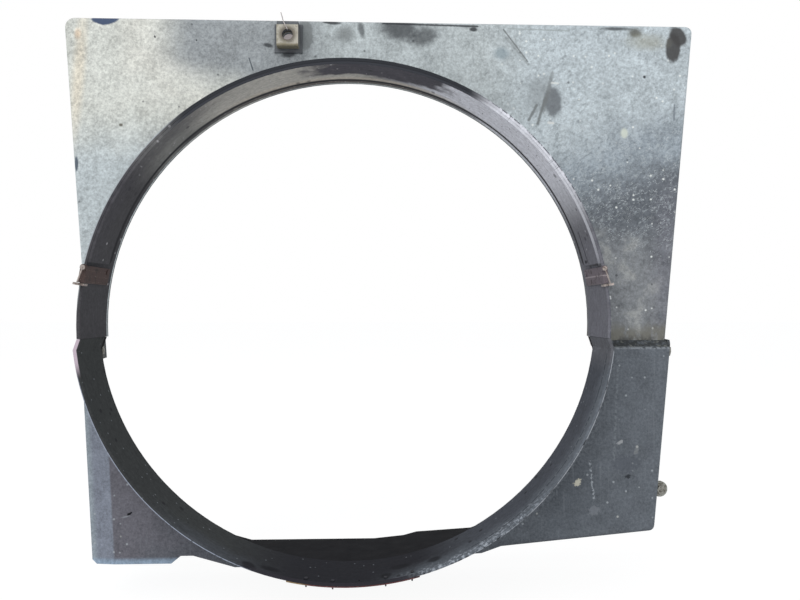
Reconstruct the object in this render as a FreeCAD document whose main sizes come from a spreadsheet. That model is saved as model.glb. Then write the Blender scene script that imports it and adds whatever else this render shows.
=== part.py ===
"""Radiator fan shroud: an upper and a lower moulding lapped together round a fan ring.

Frame, in millimetres: X to the right and Z up as seen from the engine, Y from the engine towards
the radiator. The origin is on the fan's axis, in the plane of the rear flange that meets the
radiator, so the whole moulding lies at negative Y.
"""
import FreeCAD, Part
import Sketcher
import math
import os

SIZES = {
    # the mouldings
    "wall": 3.2,                # thickness of both mouldings
    "pan_depth": 78.0,          # rear flange face to the front of the upper plate
    "joggle": 8.5,              # the lower plate stands this much nearer the engine
    "left_reach": 285.5,        # fan axis to the left edge of the upper plate, level with the axis
    "left_slope": 0.078,        # how far that edge leans out for each millimetre up
    "right_reach": 351.0,
    "right_slope": 0.097,
    "top_height": 332.0,        # fan axis to the top edge of the plate
    "side_draft": 13.0,         # degrees: the side walls spread from plate to flange
    "bottom_draft": 4.5,        # degrees: and the bottom wall
    "low_left_slope": 0.062,    # the left edge of the lower plate leans less
    "fold_radius": 6.0,         # outside radius of the fold round the plate
    "left_corner": 11.0,        # corner radii of the plate, looking along Y
    "right_corner": 8.0,
    # the lap between the two mouldings
    "lap_drop": 20.5,           # fan axis down to the lip of the lower plate
    "lap_overlap": 24.0,        # how far the upper walls reach down inside the lower ones
    "lap_gap": 0.3,             # clearance between the two mouldings
    "lap_step": 2.6,            # the lower side walls stand this much further out
    # the fan ring
    "ring_radius": 262.3,       # inside radius of the upper half
    "barrel_length": 58.5,      # front of the upper plate to the lip of the ring
    "low_ring_radius": 267.5,   # inside radius of the lower half, sideways
    "low_ring_depth": 262.8,    # and downwards: this half has sagged to an oval
    "low_ring_rise": 5.5,       # its centre lies this much above the fan's axis
    "ring_split": 16.0,         # fan axis down to where the two halves of the ring meet
    "ring_ramp": 11.0,          # height over which the lower half swells to its own radius
    # the bottom of the lower moulding, all measured down or sideways from the fan's axis
    "foot_drop": 256.5,         # the foot at the left corner
    "foot_end": 189.0,
    "saddle_drop": 248.5,       # the short level between foot and well
    "saddle_left": 179.0,
    "saddle_right": 166.0,
    "well_drop": 261.2,         # the well under the ring
    "well_left": 122.0,
    "well_flat_end": 25.0,
    "well_rise_drop": 257.8,    # from there it climbs in steps towards the right
    "well_right": 60.0,
    "well_step_drop": 253.6,
    "well_step_right": 76.0,
    "well_end_drop": 249.6,
    "well_end": 142.0,
    "heel_drop": 244.4,         # where the sloping right part of the bottom starts
    "heel_start": 157.0,
    "heel_slope": 0.0915,       # how far it rises for each millimetre to the right
    "foot_corner": 4.0,         # cut across the left bottom corner
    "heel_corner": 7.0,         # radius of the right bottom corner
    "bevel_width": 24.0,        # sloping strip down the left edge of the lower plate
    "bevel_depth": 3.5,
    # the rear flange and its fixing ears
    "flange_width": 12.0,
    "flange_corner": 7.0,       # how far the flange cuts across the corners of the pan
    "ear_out": 6.5,             # side wall to the hole of an ear
    "ear_radius": 8.0,
    "ear_hole": 4.0,            # radius
    "upper_ear_rise": 250.0,
    "lower_ear_drop": 207.0,
    "side_ear_x": 375.5,        # the long ear at the right bottom corner, which keeps its bolt
    "side_ear_radius": 8.5,
    "side_hole": 3.4,
    "side_bolt_radius": 3.0,
    "side_bolt_length": 13.0,
    "side_head_radius": 5.6,
    "side_head_height": 4.2,
    "side_collar_radius": 6.8,
    "side_collar_height": 1.4,
    "side_washer_radius": 9.6,
    "side_washer_height": 1.6,
    # the bolts through the lap, two in each side wall
    "lap_bolt_radius": 3.0,
    "lap_bolt_hole": 3.4,
    "lap_bolt_drop": 33.0,
    "lap_bolt_rear": 34.0,      # rear flange face to the two bolts
    "lap_bolt_front": 62.0,
    "lap_head_radius": 5.8,
    "lap_head_height": 3.6,
    "lap_washer_radius": 7.0,
    "lap_washer_height": 1.2,
    "lap_nut_radius": 5.8,
    "lap_nut_height": 4.0,
    "lap_bolt_tail": 0.6,       # shank past the nut
    # the liner inside the upper half of the ring
    "liner_thickness": 2.6,
    "liner_gap": 0.2,           # between the liner or a clip and the ring
    "liner_back": 13.2,         # front of the upper plate to the liner's rear edge
    "liner_end_front": 57.2,    # height of the liner's slanting ends above the axis
    "liner_end_rear": 61.0,
    "liner_corner": 6.0,
    # the steel clips and their wire bails, one pair each side of the ring
    "clip_angle": 10.5,         # degrees from the horizontal through the fan's axis
    "clip_height": 17.4,
    "clip_sheet": 1.2,
    "clip_return": 11.0,        # length of the leg outside the ring
    "clip_back": 9.0,           # front of the upper plate to the rear end of the inner leg
    "clip_rivet_radius": 1.6,
    "clip_rivet_head": 2.8,
    "clip_rivet_head_height": 0.9,
    "clip_rivet_back": 14.0,    # front of the upper plate to the rivet
    "clip_rivet_rise": 4.6,
    "eye_radius": 3.2,
    "eye_bore": 2.0,
    "eye_length": 2.0,
    "eye_out": 1.0,             # centre of the eye from the inside of the ring, outwards
    "eye_rise": 6.5,            # and above the middle of the clip
    "bail_pin_radius": 1.7,
    "bail_head_radius": 2.4,
    "bail_head_height": 0.9,
    "bail_wire_radius": 0.7,
    "bail_lean": 2.4,           # lower end of the bail from its pin, outwards and down
    "bail_drop": 14.9,
    "hook_height": 2.2,
    "hook_sheet": 1.6,
    "hook_drop": 10.4,          # middle of the hook strip below the middle of the clip
    "hook_reach": 2.0,          # the tab stands this far outside the ring
    "hook_forward": 3.4,        # and this far in front of it
    "hook_return": 6.0,
    # the rubbing strip under the lip and the pins that hold it
    "strip_thickness": 1.1,
    "strip_width": 12.0,
    "strip_left": 60.0,
    "strip_right": 72.0,
    "pin_radius": 0.8,
    "pin_bore": 1.0,
    "pin_head_radius": 1.9,
    "pin_head_height": 0.8,
    "pin_tail": 3.6,            # length that stands out past the strip
    "pin_pitch": 26.4,
    "pin_start": -41.0,         # the first pin, sideways from the axis
    "pin_setback": 5.0,         # behind the lip
    # the sheet-metal clip nut near the top edge, and the tab that it grips
    "nut_x": -67.9,
    "nut_bottom": 297.6,
    "nut_height": 23.2,
    "nut_width": 23.2,
    "nut_sheet": 1.2,
    "nut_grip": 6.2,            # thickness of the moulded tab
    "nut_slack": 0.2,
    "nut_hole": 5.9,            # radius
    "nut_hole_rise": 12.6,      # from the bottom of the clip nut
    "nut_bend": 2.0,
    "tab_bridge": 4.0,          # where the tab joins the plate
    "pad_height": 2.0,          # raised pad under the clip nut
    "pad_margin": 3.6,
    "wire_radius": 0.5,
    "wire_knee": 0.55,          # radius of its bends
    "wire_tuck": 2.4,           # length of the end behind the front leaf
    "wire_bend_out": 4.1,       # first bend and end of the wire, sideways and upwards
    "wire_bend_rise": 8.0,
    "wire_out": 6.7,
    "wire_rise": 17.6,
}

document = FreeCAD.newDocument("fan_shroud")
sheet = document.addObject("Spreadsheet::Sheet", "Sizes")
for row, (alias, number) in enumerate(SIZES.items(), start=1):
    sheet.set(f"A{row}", alias)
    sheet.set(f"B{row}", str(number))
    sheet.setAlias(f"B{row}", alias)
document.recompute()

LIP = "(Sizes.pan_depth + Sizes.barrel_length)"
LOW_PLATE = "(Sizes.pan_depth + Sizes.joggle)"
nodes = []


def new_body(name):
    """A PartDesign body that becomes the node of that name."""
    body = document.addObject("PartDesign::Body", name)
    nodes.append(body)
    return body


def origin_feature(body, role):
    """One of the body's own origin planes or axes."""
    return next(feature for feature in body.Origin.OriginFeatures if feature.Role == role)


def sketch_on(body, name, role, offset="0"):
    """A sketch on one of the body's own origin planes, moved along that plane's normal."""
    sketch = body.newObject("Sketcher::SketchObject", name)
    sketch.AttachmentSupport = [(origin_feature(body, role), "")]
    sketch.MapMode = "FlatFace"
    sketch.setExpression("AttachmentOffset.Base.z", offset)
    document.recompute()
    return sketch


def tie(sketch, kind, expression, *places):
    """A dimension of the sketch given as an expression."""
    number = sketch.addConstraint(
        Sketcher.Constraint(kind, *places, sketch.evalExpression(expression)))
    sketch.setExpression(f"Constraints[{number}]", expression)


def sketch_in(body, name, frame):
    """A sketch on the XY plane of a frame."""
    sketch = sketch_on(body, name, "XY_Plane")
    sketch.setExpression("AttachmentOffset.Base.z", None)
    sketch.AttachmentOffset = frame
    return sketch


def tie_point(sketch, geometry, vertex, place):
    """Fix a vertex of the sketch at a place given as two expressions."""
    for kind, expression in zip(("DistanceX", "DistanceY"), place):
        tie(sketch, kind, expression, -1, 1, geometry, vertex)


def draw_polygon(sketch, corners):
    """A closed outline of straight lines through corners given as pairs of expressions."""
    points = [FreeCAD.Vector(*map(sketch.evalExpression, corner)) for corner in corners]
    lines = [sketch.addGeometry(Part.LineSegment(start, end), False)
             for start, end in zip(points, points[1:] + points[:1])]
    for line, following in zip(lines, lines[1:] + lines[:1]):
        sketch.addConstraint(Sketcher.Constraint("Coincident", line, 2, following, 1))
    for line, corner in zip(lines, corners):
        tie_point(sketch, line, 1, corner)


def draw_circle(sketch, radius, centre=("0", "0")):
    """A circle whose radius and centre are expressions."""
    middle = FreeCAD.Vector(*map(sketch.evalExpression, centre))
    round_edge = Part.Circle(middle, FreeCAD.Vector(0, 0, 1), sketch.evalExpression(radius))
    circle = sketch.addGeometry(round_edge, False)
    tie_point(sketch, circle, 3, centre)
    tie(sketch, "Radius", radius, circle)


def pad(body, sketch, length, middle=False):
    """Raise the sketch along its own normal, or both ways from it."""
    feature = body.newObject("PartDesign::Pad", sketch.Name + "_pad")
    feature.Profile = sketch
    feature.setExpression("Length", length)
    feature.Midplane = middle
    document.recompute()
    return feature


def pocket(body, sketch, length, middle=False):
    """Cut the sketch away against its normal, or both ways from it, and make sure that it cuts."""
    before = body.Shape.Volume
    feature = body.newObject("PartDesign::Pocket", sketch.Name + "_pocket")
    feature.Profile = sketch
    feature.setExpression("Length", length)
    feature.Midplane = middle
    document.recompute()
    if feature.Shape.Volume >= before:
        raise RuntimeError(f"{feature.Name} cuts nothing")
    return feature


def rings(body, name, radii, offset, length, centre=("0", "0"), role="XZ_Plane"):
    """A ring, or a disc where only one radius is given, raised from an offset plane."""
    sketch = sketch_on(body, name, role, offset)
    for radius in radii:
        draw_circle(sketch, radius, centre)
    return pad(body, sketch, length)


def round_edges(body, name, radius, wanted):
    """A fillet on the edges of the body for which wanted is true."""
    tip = body.Tip
    names = [f"Edge{number}" for number, edge in enumerate(tip.Shape.Edges, start=1) if wanted(edge)]
    feature = body.newObject("PartDesign::Fillet", name)
    feature.Base = (tip, names)
    feature.setExpression("Radius", radius)
    document.recompute()
    return feature


def in_plane_y(edge, depth):
    """True for an edge that lies in the plane this deep in front of the flange face."""
    box = edge.BoundBox
    return abs(box.YMin + depth) < 0.01 and abs(box.YMax + depth) < 0.01


def edge_left(height, outward="0"):
    """Where the leaning left edge of the plate is at this height."""
    return f"(-(Sizes.left_reach + Sizes.left_slope * ({height}) + {outward}))"


def edge_right(height, outward="0"):
    return f"(Sizes.right_reach + Sizes.right_slope * ({height}) + {outward})"


def low_left(height, outward="0"):
    """Where the left edge of the lower plate is, which leans less than the upper one."""
    lap = "(-Sizes.lap_drop)"
    return (f"({edge_left(lap, outward)} - Sizes.low_left_slope * (({height}) - {lap}))")


# the bottom edge of the lower plate from left to right: how far sideways, and how far down
BOTTOM = [("(-Sizes.foot_end)", "Sizes.foot_drop"), ("(-Sizes.saddle_left)", "Sizes.saddle_drop"),
          ("(-Sizes.saddle_right)", "Sizes.saddle_drop"), ("(-Sizes.well_left)", "Sizes.well_drop"),
          ("Sizes.well_flat_end", "Sizes.well_drop"), ("Sizes.well_right", "Sizes.well_rise_drop"),
          ("Sizes.well_step_right", "Sizes.well_step_drop"),
          ("Sizes.well_end", "Sizes.well_end_drop"), ("Sizes.heel_start", "Sizes.heel_drop")]


def drafted_block(body, outline, depth):
    """A block from the plate's outline back to the flange face, its two side walls spreading."""
    sketch = sketch_on(body, body.Name + "_outline", "XZ_Plane", depth)
    draw_polygon(sketch, outline)
    block = body.newObject("PartDesign::Pad", body.Name + "_block")
    block.Profile = sketch
    block.setExpression("Length", depth)
    block.Reversed = True
    document.recompute()
    draft_faces(body, body.Name + "_draft", "Sizes.side_draft", lambda normal: abs(normal.x) > 0.9)


def draft_faces(body, name, angle, wanted):
    """Turn the faces for which wanted is true about the plate, so that they spread to the rear."""
    tip = body.Tip
    faces = list(enumerate(tip.Shape.Faces, start=1))
    draft = body.newObject("PartDesign::Draft", name)
    draft.Placement = tip.Placement
    draft.Base = (tip, [f"Face{number}" for number, face in faces if wanted(face.normalAt(0, 0))])
    plate = [f"Face{number}" for number, face in faces if face.normalAt(0, 0).y < -0.9]
    draft.NeutralPlane = (tip, plate)
    draft.PullDirection = (origin_feature(body, "Y_Axis"), [""])
    draft.setExpression("Angle", angle)
    draft.Reversed = True
    document.recompute()
    return draft


def hollow(body, name, wanted):
    """Turn the block into a shell of the wall's thickness, open where wanted is true."""
    tip = body.Tip
    names = [f"Face{number}" for number, face in enumerate(tip.Shape.Faces, start=1) if wanted(face)]
    feature = body.newObject("PartDesign::Thickness", name)
    feature.Base = (tip, names)
    feature.setExpression("Value", "Sizes.wall")
    feature.Reversed = True
    document.recompute()
    return feature


def chamfer(body, name, sizes, wanted):
    """A bevel on the edges for which wanted is true, with one size or with two."""
    tip = body.Tip
    names = [f"Edge{number}" for number, edge in enumerate(tip.Shape.Edges, start=1) if wanted(edge)]
    feature = body.newObject("PartDesign::Chamfer", name)
    feature.Base = (tip, names)
    feature.ChamferType = len(sizes) - 1
    for field, size in zip(("Size", "Size2"), sizes):
        feature.setExpression(field, size)
    document.recompute()
    return feature


def slab(body, name, corners, depth, length):
    """A plate with this outline, its front face this deep in front of the flange face."""
    sketch = sketch_on(body, name, "XZ_Plane", f"({depth} - {length})")
    draw_polygon(sketch, corners)
    return pad(body, sketch, length)


def opening(body, name, corners, depth, length):
    """A window with this outline, cut from this deep towards the flange face."""
    sketch = sketch_on(body, name, "XZ_Plane", depth)
    draw_polygon(sketch, corners)
    return pocket(body, sketch, length)


def bore(body, name, radius, centre, depth, length):
    """A round hole along Y, cut from this deep towards the flange face."""
    sketch = sketch_on(body, name, "XZ_Plane", depth)
    draw_circle(sketch, radius, centre)
    return pocket(body, sketch, length)


def box_corners(left, right, bottom, top):
    """The four corners of an upright rectangle, given as expressions."""
    return [(left, bottom), (right, bottom), (right, top), (left, top)]


def draw_oval(sketch, size, rise, level=None):
    """An upright oval, wider than it is tall, or only its part below a level."""
    across, down = map(sketch.evalExpression, size)
    centre = FreeCAD.Vector(0, sketch.evalExpression(rise))
    oval = Part.Ellipse(centre, float(across), float(down))
    if level is not None:
        lean = math.asin((sketch.evalExpression(level) - centre.y) / down)
        oval = Part.ArcOfEllipse(oval, math.pi - lean, math.tau + lean)
    curve = sketch.addGeometry(oval, False)
    sketch.exposeInternalGeometry(curve)
    tie_point(sketch, curve, 3, ("0", rise))
    sketch.addConstraint(Sketcher.Constraint("Horizontal", curve + 1))
    tie(sketch, "DistanceX", f"({size[0]} * 2)", curve + 1, 2, curve + 1, 1)
    tie(sketch, "DistanceY", f"({size[1]} * 2)", curve + 2, 2, curve + 2, 1)
    return curve


def close_ends(sketch, curves):
    """Join the ends of two open curves with straight lines."""
    for vertex in (1, 2):
        ends = [sketch.getPoint(curve, vertex) for curve in curves]
        line = sketch.addGeometry(Part.LineSegment(*ends), False)
        for side, curve in enumerate(curves, start=1):
            sketch.addConstraint(Sketcher.Constraint("Coincident", line, side, curve, vertex))


def draw_half_ring(sketch, radii, level):
    """The part of a round ring above a level."""
    height = sketch.evalExpression(level)
    arcs = []
    for radius in radii:
        size = sketch.evalExpression(radius)
        lean = math.asin(height / size)
        circle = Part.Circle(FreeCAD.Vector(), FreeCAD.Vector(0, 0, 1), size)
        arc = sketch.addGeometry(Part.ArcOfCircle(circle, lean, math.pi - lean), False)
        arcs.append(arc)
        tie_point(sketch, arc, 3, ("0", "0"))
        tie(sketch, "Radius", radius, arc)
        for vertex in (1, 2):
            tie(sketch, "DistanceY", level, -1, 1, arc, vertex)
    close_ends(sketch, arcs)


def draw_half_oval(sketch, outward, level):
    """The part of the oval lower ring below a level, between two distances outside its bore."""
    curves = []
    for out in outward:
        curve = draw_oval(sketch, low_oval(out), "Sizes.low_ring_rise", level)
        curves.append(curve)
        for vertex in (1, 2):
            tie(sketch, "DistanceY", level, -1, 1, curve, vertex)
    close_ends(sketch, curves)


def low_oval(out):
    return (f"(Sizes.low_ring_radius + {out})", f"(Sizes.low_ring_depth + {out})")


def upper_band(body, name, radii, level, depth, length):
    """Part of the upper ring, its front edge this deep in front of the flange face."""
    sketch = sketch_on(body, name, "XZ_Plane", f"({depth} - {length})")
    draw_half_ring(sketch, radii, level)
    return pad(body, sketch, length)


def lower_band(body, name, outward, level, depth, length):
    """Part of the lower ring, its front edge this deep in front of the flange face."""
    sketch = sketch_on(body, name, "XZ_Plane", f"({depth} - {length})")
    draw_half_oval(sketch, outward, level)
    return pad(body, sketch, length)


def ear(body, name, centre, radius, hole):
    """A round ear of the flange with its fixing hole."""
    rings(body, name, [radius], "0", "Sizes.wall", centre)
    bore(body, name + "_hole", hole, centre, "Sizes.wall", "Sizes.wall")


REAR_SPREAD = "(Sizes.pan_depth * tan(Sizes.side_draft))"
LOW_SPREAD = "(Sizes.lap_step + (Sizes.pan_depth + Sizes.joggle) * tan(Sizes.side_draft))"
SPLIT = "(-Sizes.ring_split)"
LOW_RAMP = "(-Sizes.ring_split - Sizes.ring_ramp)"
UPPER_END = "(-Sizes.lap_drop - Sizes.lap_overlap)"


SIDES = {"left": -1, "right": 1}
RIM = "(Sizes.ring_radius + Sizes.wall * 2)"


def value(expression):
    return sheet.evalExpression(expression)


def vector(x, y, z):
    """A vector from three expressions or numbers."""
    return FreeCAD.Vector(*(value(part) if isinstance(part, str) else part for part in (x, y, z)))


def shifted(frame, x, y, z):
    """The same frame with its origin moved along its own axes."""
    return frame.multiply(FreeCAD.Placement(vector(x, y, z), FreeCAD.Rotation()))


def clip_frame(side):
    """The frame of one clip: Z points outwards along the clip, X along the fan's axis, Y up."""
    turn = math.radians(sheet.clip_angle)
    out = FreeCAD.Vector(SIDES[side] * math.cos(turn), 0, math.sin(turn))
    up = FreeCAD.Vector(-SIDES[side] * math.sin(turn), 0, math.cos(turn))
    along = up.cross(out)
    return FreeCAD.Placement(FreeCAD.Vector(), FreeCAD.Rotation(along, up, out, "ZYX"))


def wall_frame(side):
    """A frame on the outer face of an upper side wall at the bolts' height, Z pointing outwards."""
    sign = SIDES[side]
    slope = sheet.right_slope if sign > 0 else sheet.left_slope
    edge = edge_right if sign > 0 else edge_left
    draft = math.radians(sheet.side_draft)
    flat = FreeCAD.Vector(sign, 0, -slope).normalize()
    up = FreeCAD.Vector(sign * slope, 0, 1).normalize()
    out = flat * math.cos(draft) - FreeCAD.Vector(0, math.sin(draft), 0)
    level = "(-Sizes.lap_bolt_drop)"
    origin = vector(edge(level), "(-Sizes.pan_depth)", level)
    return FreeCAD.Placement(origin, FreeCAD.Rotation(up.cross(out), up, out, "ZYX"))


def rivet_spot(side):
    """Where the rivet of a clip stands in the clip's frame."""
    depth = "(Sizes.pan_depth + Sizes.clip_rivet_back)"
    return (f"({'-' if SIDES[side] > 0 else ''}{depth})", "Sizes.clip_rivet_rise")


def drill(body, name, frame, radius, centres, length):
    """Round holes along Z of a frame, both ways from its origin."""
    sketch = sketch_in(body, name, frame)
    for centre in centres:
        draw_circle(sketch, radius, centre)
    return pocket(body, sketch, length)


def lap_bolt_spots(side):
    """Where the two bolts stand in the frame of their side wall."""
    sign = "-" if wall_frame(side).Rotation.multVec(FreeCAD.Vector(1, 0, 0)).y < 0 else ""
    slant = "/ cos(Sizes.side_draft)"
    return [(f"({sign}(Sizes.pan_depth - {depth}) {slant})", "0")
            for depth in ("Sizes.lap_bolt_rear", "Sizes.lap_bolt_front")]


def lap_bolt_holes(body):
    """Holes for the two bolts in each side wall, square to the wall."""
    for side in SIDES:
        frame = shifted(wall_frame(side), 0, 0, "(Sizes.lap_step + Sizes.wall * 2)")
        drill(body, f"{body.Name}_{side}_lap_holes", frame, "Sizes.lap_bolt_hole",
              lap_bolt_spots(side), "Sizes.lap_step + Sizes.wall * 6")


def make_upper_shell():
    """The pale upper moulding: plate, two side walls, top wall, half of the ring, flange."""
    body = new_body("upper_shell")
    top = "Sizes.top_height"
    outline = [(edge_left(top), top), (edge_right(top), top),
               (edge_right(UPPER_END), UPPER_END), (edge_left(UPPER_END), UPPER_END)]
    drafted_block(body, outline, "Sizes.pan_depth")
    for name, left in (("left_corner", True), ("right_corner", False)):
        round_edges(body, name, "Sizes." + name, lambda edge: (
            edge.BoundBox.YLength > sheet.pan_depth / 2 and edge.BoundBox.ZMin > 0
            and (edge.BoundBox.XMax < 0) == left))
    low = -(sheet.lap_drop + sheet.lap_overlap)
    round_edges(body, "upper_fold", "Sizes.fold_radius", lambda edge: (
        in_plane_y(edge, sheet.pan_depth) and edge.BoundBox.ZMax > low + sheet.wall))
    hollow(body, "upper_pan", lambda face: (
        face.BoundBox.YMin > -sheet.wall or face.BoundBox.ZMax < low + sheet.wall))
    bore(body, "upper_bore", "Sizes.ring_radius", ("0", "0"),
         "(Sizes.pan_depth + Sizes.wall)", "Sizes.wall * 3")
    relief = "(Sizes.low_ring_radius + Sizes.wall * 1.4)"
    opening(body, "upper_relief", box_corners(f"(-{relief})", relief, f"({UPPER_END} - 1)", SPLIT),
            "(Sizes.pan_depth + Sizes.wall)", "Sizes.wall * 3")
    upper_band(body, "upper_barrel", ("Sizes.ring_radius", "(Sizes.ring_radius + Sizes.wall)"),
               SPLIT, LIP, "(Sizes.barrel_length + Sizes.wall)")
    inner, outer = "(Sizes.wall / 2)", "Sizes.flange_width"
    foot = "(-Sizes.lap_drop + Sizes.lap_gap)"
    cut = "Sizes.flange_corner"

    def left_at(height, out):
        return edge_left(height, f"({REAR_SPREAD} + {out})")

    def right_at(height, out):
        return edge_right(height, f"({REAR_SPREAD} + {out})")

    rim = f"({top} + {outer})"
    under = f"({top} - {inner})"
    flange = [(left_at(foot, outer), foot), (left_at(foot, f"(-{inner})"), foot),
              (left_at(f"({top} - {cut})", f"(-{inner})"), f"({top} - {cut})"),
              (left_at(under, f"(-{cut})"), under), (right_at(under, f"(-{cut})"), under),
              (right_at(f"({top} - {cut})", f"(-{inner})"), f"({top} - {cut})"),
              (right_at(foot, f"(-{inner})"), foot), (right_at(foot, outer), foot),
              (right_at(rim, outer), rim), (left_at(rim, outer), rim)]
    slab(body, "upper_flange", flange, "Sizes.wall", "Sizes.wall")
    level = "Sizes.upper_ear_rise"
    for side, place in (("left", left_at), ("right", right_at)):
        ear(body, f"upper_{side}_ear", (place(level, "Sizes.ear_out"), level),
            "Sizes.ear_radius", "Sizes.ear_hole")
    lap_bolt_holes(body)
    clip_nut_seat(body)
    for side in SIDES:
        drill(body, f"{side}_rivet_hole", shifted(clip_frame(side), 0, 0, RIM),
              "(Sizes.clip_rivet_radius + Sizes.lap_gap / 2)",
              [rivet_spot(side)], "Sizes.wall * 3")
    return body


def make_lower_shell():
    """The slate lower moulding, whose plate stands nearer the engine and laps over the upper one."""
    body = new_body("lower_shell")
    top, foot = "(-Sizes.lap_drop)", "(-Sizes.foot_drop)"
    step = "Sizes.lap_step"
    corner_x = ("((Sizes.right_reach + Sizes.lap_step - Sizes.right_slope * (Sizes.heel_drop"
                " + Sizes.heel_slope * Sizes.heel_start))"
                " / (1 - Sizes.right_slope * Sizes.heel_slope))")
    corner_z = f"(Sizes.heel_slope * ({corner_x} - Sizes.heel_start) - Sizes.heel_drop)"
    cut = f"({foot} + Sizes.foot_corner)"
    outline = [(low_left(top, step), top), (low_left(cut, step), cut),
               (low_left(foot, f"({step} - Sizes.foot_corner)"), foot),
               *[(place, f"(-{drop})") for place, drop in BOTTOM],
               (corner_x, corner_z), (edge_right(top, step), top)]
    drafted_block(body, outline, LOW_PLATE)
    draft_faces(body, "bottom_draft", "Sizes.bottom_draft", lambda normal: normal.z < -0.3)
    plate = sheet.pan_depth + sheet.joggle
    chamfer(body, "left_bevel", ("Sizes.bevel_depth", "Sizes.bevel_width"), lambda edge: (
        in_plane_y(edge, plate) and edge.BoundBox.XMax < 0
        and edge.BoundBox.ZLength > sheet.foot_drop / 2))
    round_edges(body, "heel_corner", "Sizes.heel_corner", lambda edge: (
        edge.BoundBox.YLength > sheet.pan_depth / 2 and edge.BoundBox.XMin > sheet.right_reach * 0.8
        and edge.BoundBox.ZMax < -sheet.foot_drop / 2))
    round_edges(body, "lower_fold", "Sizes.fold_radius", lambda edge: (
        in_plane_y(edge, plate) and edge.BoundBox.XMin > sheet.heel_start - 1
        and edge.BoundBox.ZMax < -sheet.lap_drop + 1))
    hollow(body, "lower_pan", lambda face: (
        face.BoundBox.YMin > -sheet.wall or face.BoundBox.ZMin > -sheet.lap_drop - sheet.wall))
    lap_lip(body)
    sketch = sketch_on(body, "lower_bore", "XZ_Plane", f"({LOW_PLATE} + Sizes.wall)")
    draw_oval(sketch, low_oval("0"), "Sizes.low_ring_rise")
    pocket(body, sketch, "Sizes.wall * 6")
    lower_band(body, "lower_barrel", ("0", "Sizes.wall"), LOW_RAMP, LIP,
               "(Sizes.barrel_length - Sizes.joggle + Sizes.wall)")
    join = f"({SPLIT} - Sizes.lap_gap)"
    for side, sign in (("right", ""), ("left", "-")):
        low_x = [f"({sign}{across} * sqrt(1 - (({LOW_RAMP} - Sizes.low_ring_rise) / {down})^2))"
                 for across, down in (low_oval("0"), low_oval("Sizes.wall"))]
        high_x = [f"({sign}sqrt({radius}^2 - Sizes.ring_split^2))"
                  for radius in ("Sizes.ring_radius", "(Sizes.ring_radius + Sizes.wall)")]
        ramp = [(low_x[0], LOW_RAMP), (low_x[1], LOW_RAMP), (high_x[1], join), (high_x[0], join)]
        slab(body, f"{side}_ramp", ramp, LIP, "(Sizes.barrel_length - Sizes.lap_gap)")
    inner, outer = "(Sizes.wall / 2)", "Sizes.flange_width"

    def left_at(height, out):
        return low_left(height, f"({LOW_SPREAD} + {out})")

    def right_at(height, out):
        return edge_right(height, f"({LOW_SPREAD} + {out})")

    sunk = f"({LOW_PLATE} * tan(Sizes.bottom_draft))"
    under, rim = f"({foot} - {sunk} + {inner})", f"({foot} - {sunk} - {outer})"
    heel, brim = f"({corner_z} - {sunk} + {inner})", f"({corner_z} - {sunk} - {outer})"
    skirt = [(place, f"(-{drop} - {sunk} - {outer})") for place, drop in BOTTOM]
    lining = [(place, f"(-{drop} - {sunk} + {inner})") for place, drop in reversed(BOTTOM)]
    flange = [(left_at(top, outer), top), (left_at(rim, outer), rim), *skirt,
              (right_at(corner_z, outer), brim), (right_at(top, outer), top),
              (right_at(top, f"(-{inner})"), top), (right_at(heel, f"(-{inner})"), heel), *lining,
              (left_at(under, f"(-{inner})"), under), (left_at(top, f"(-{inner})"), top)]
    slab(body, "lower_flange", flange, "Sizes.wall", "Sizes.wall")
    level = "(-Sizes.lower_ear_drop)"
    ear(body, "lower_left_ear", (left_at(level, "Sizes.ear_out"), level),
        "Sizes.ear_radius", "Sizes.ear_hole")
    band = box_corners(right_at(level, "0"), "Sizes.side_ear_x", f"({level} - Sizes.side_ear_radius)",
                       f"({level} + Sizes.side_ear_radius)")
    slab(body, "side_tongue", band, "Sizes.wall", "Sizes.wall")
    ear(body, "side_ear", ("Sizes.side_ear_x", level), "Sizes.side_ear_radius", "Sizes.side_hole")
    lap_bolt_holes(body)
    pin_holes(body)
    return body


def lap_lip(body):
    """Slope the top edge of the lower plate back until it rests on the front of the upper one."""
    high, front = "(-Sizes.lap_drop)", f"(-{LOW_PLATE})"
    low = f"({high} - Sizes.joggle)"
    over = "Sizes.wall"
    sketch = sketch_on(body, "lip_cut", "YZ_Plane")
    draw_polygon(sketch, [(f"({front} - {over})", f"({low} - {over})"),
                          (f"(-Sizes.pan_depth + {over})", f"({high} + {over})"),
                          (f"({front} - {over})", f"({high} + {over})")])
    pocket(body, sketch, "Sizes.right_reach * 3", middle=True)
    back = "(-Sizes.pan_depth - Sizes.lap_gap)"
    crest = f"({high} - Sizes.lap_gap)"
    thick = "(Sizes.wall * sqrt(2))"
    sketch = sketch_on(body, "lip_slope", "YZ_Plane", edge_left(high, "0"))
    draw_polygon(sketch, [(front, low), (back, crest), (back, f"({crest} - {thick})"),
                          (front, f"({low} - {thick})")])
    pad(body, sketch, f"({edge_right(high)} - {edge_left(high)})")
    left = edge_left(high, "Sizes.lap_step")
    sketch = sketch_on(body, "lip_end_cut", "XY_Plane", low)
    draw_polygon(sketch, [(left, f"({front} + Sizes.bevel_depth)"), (left, f"({front} - {over})"),
                          (f"({left} + Sizes.bevel_width)", front)])
    pocket(body, sketch, "Sizes.joggle * 4", middle=True)


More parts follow.
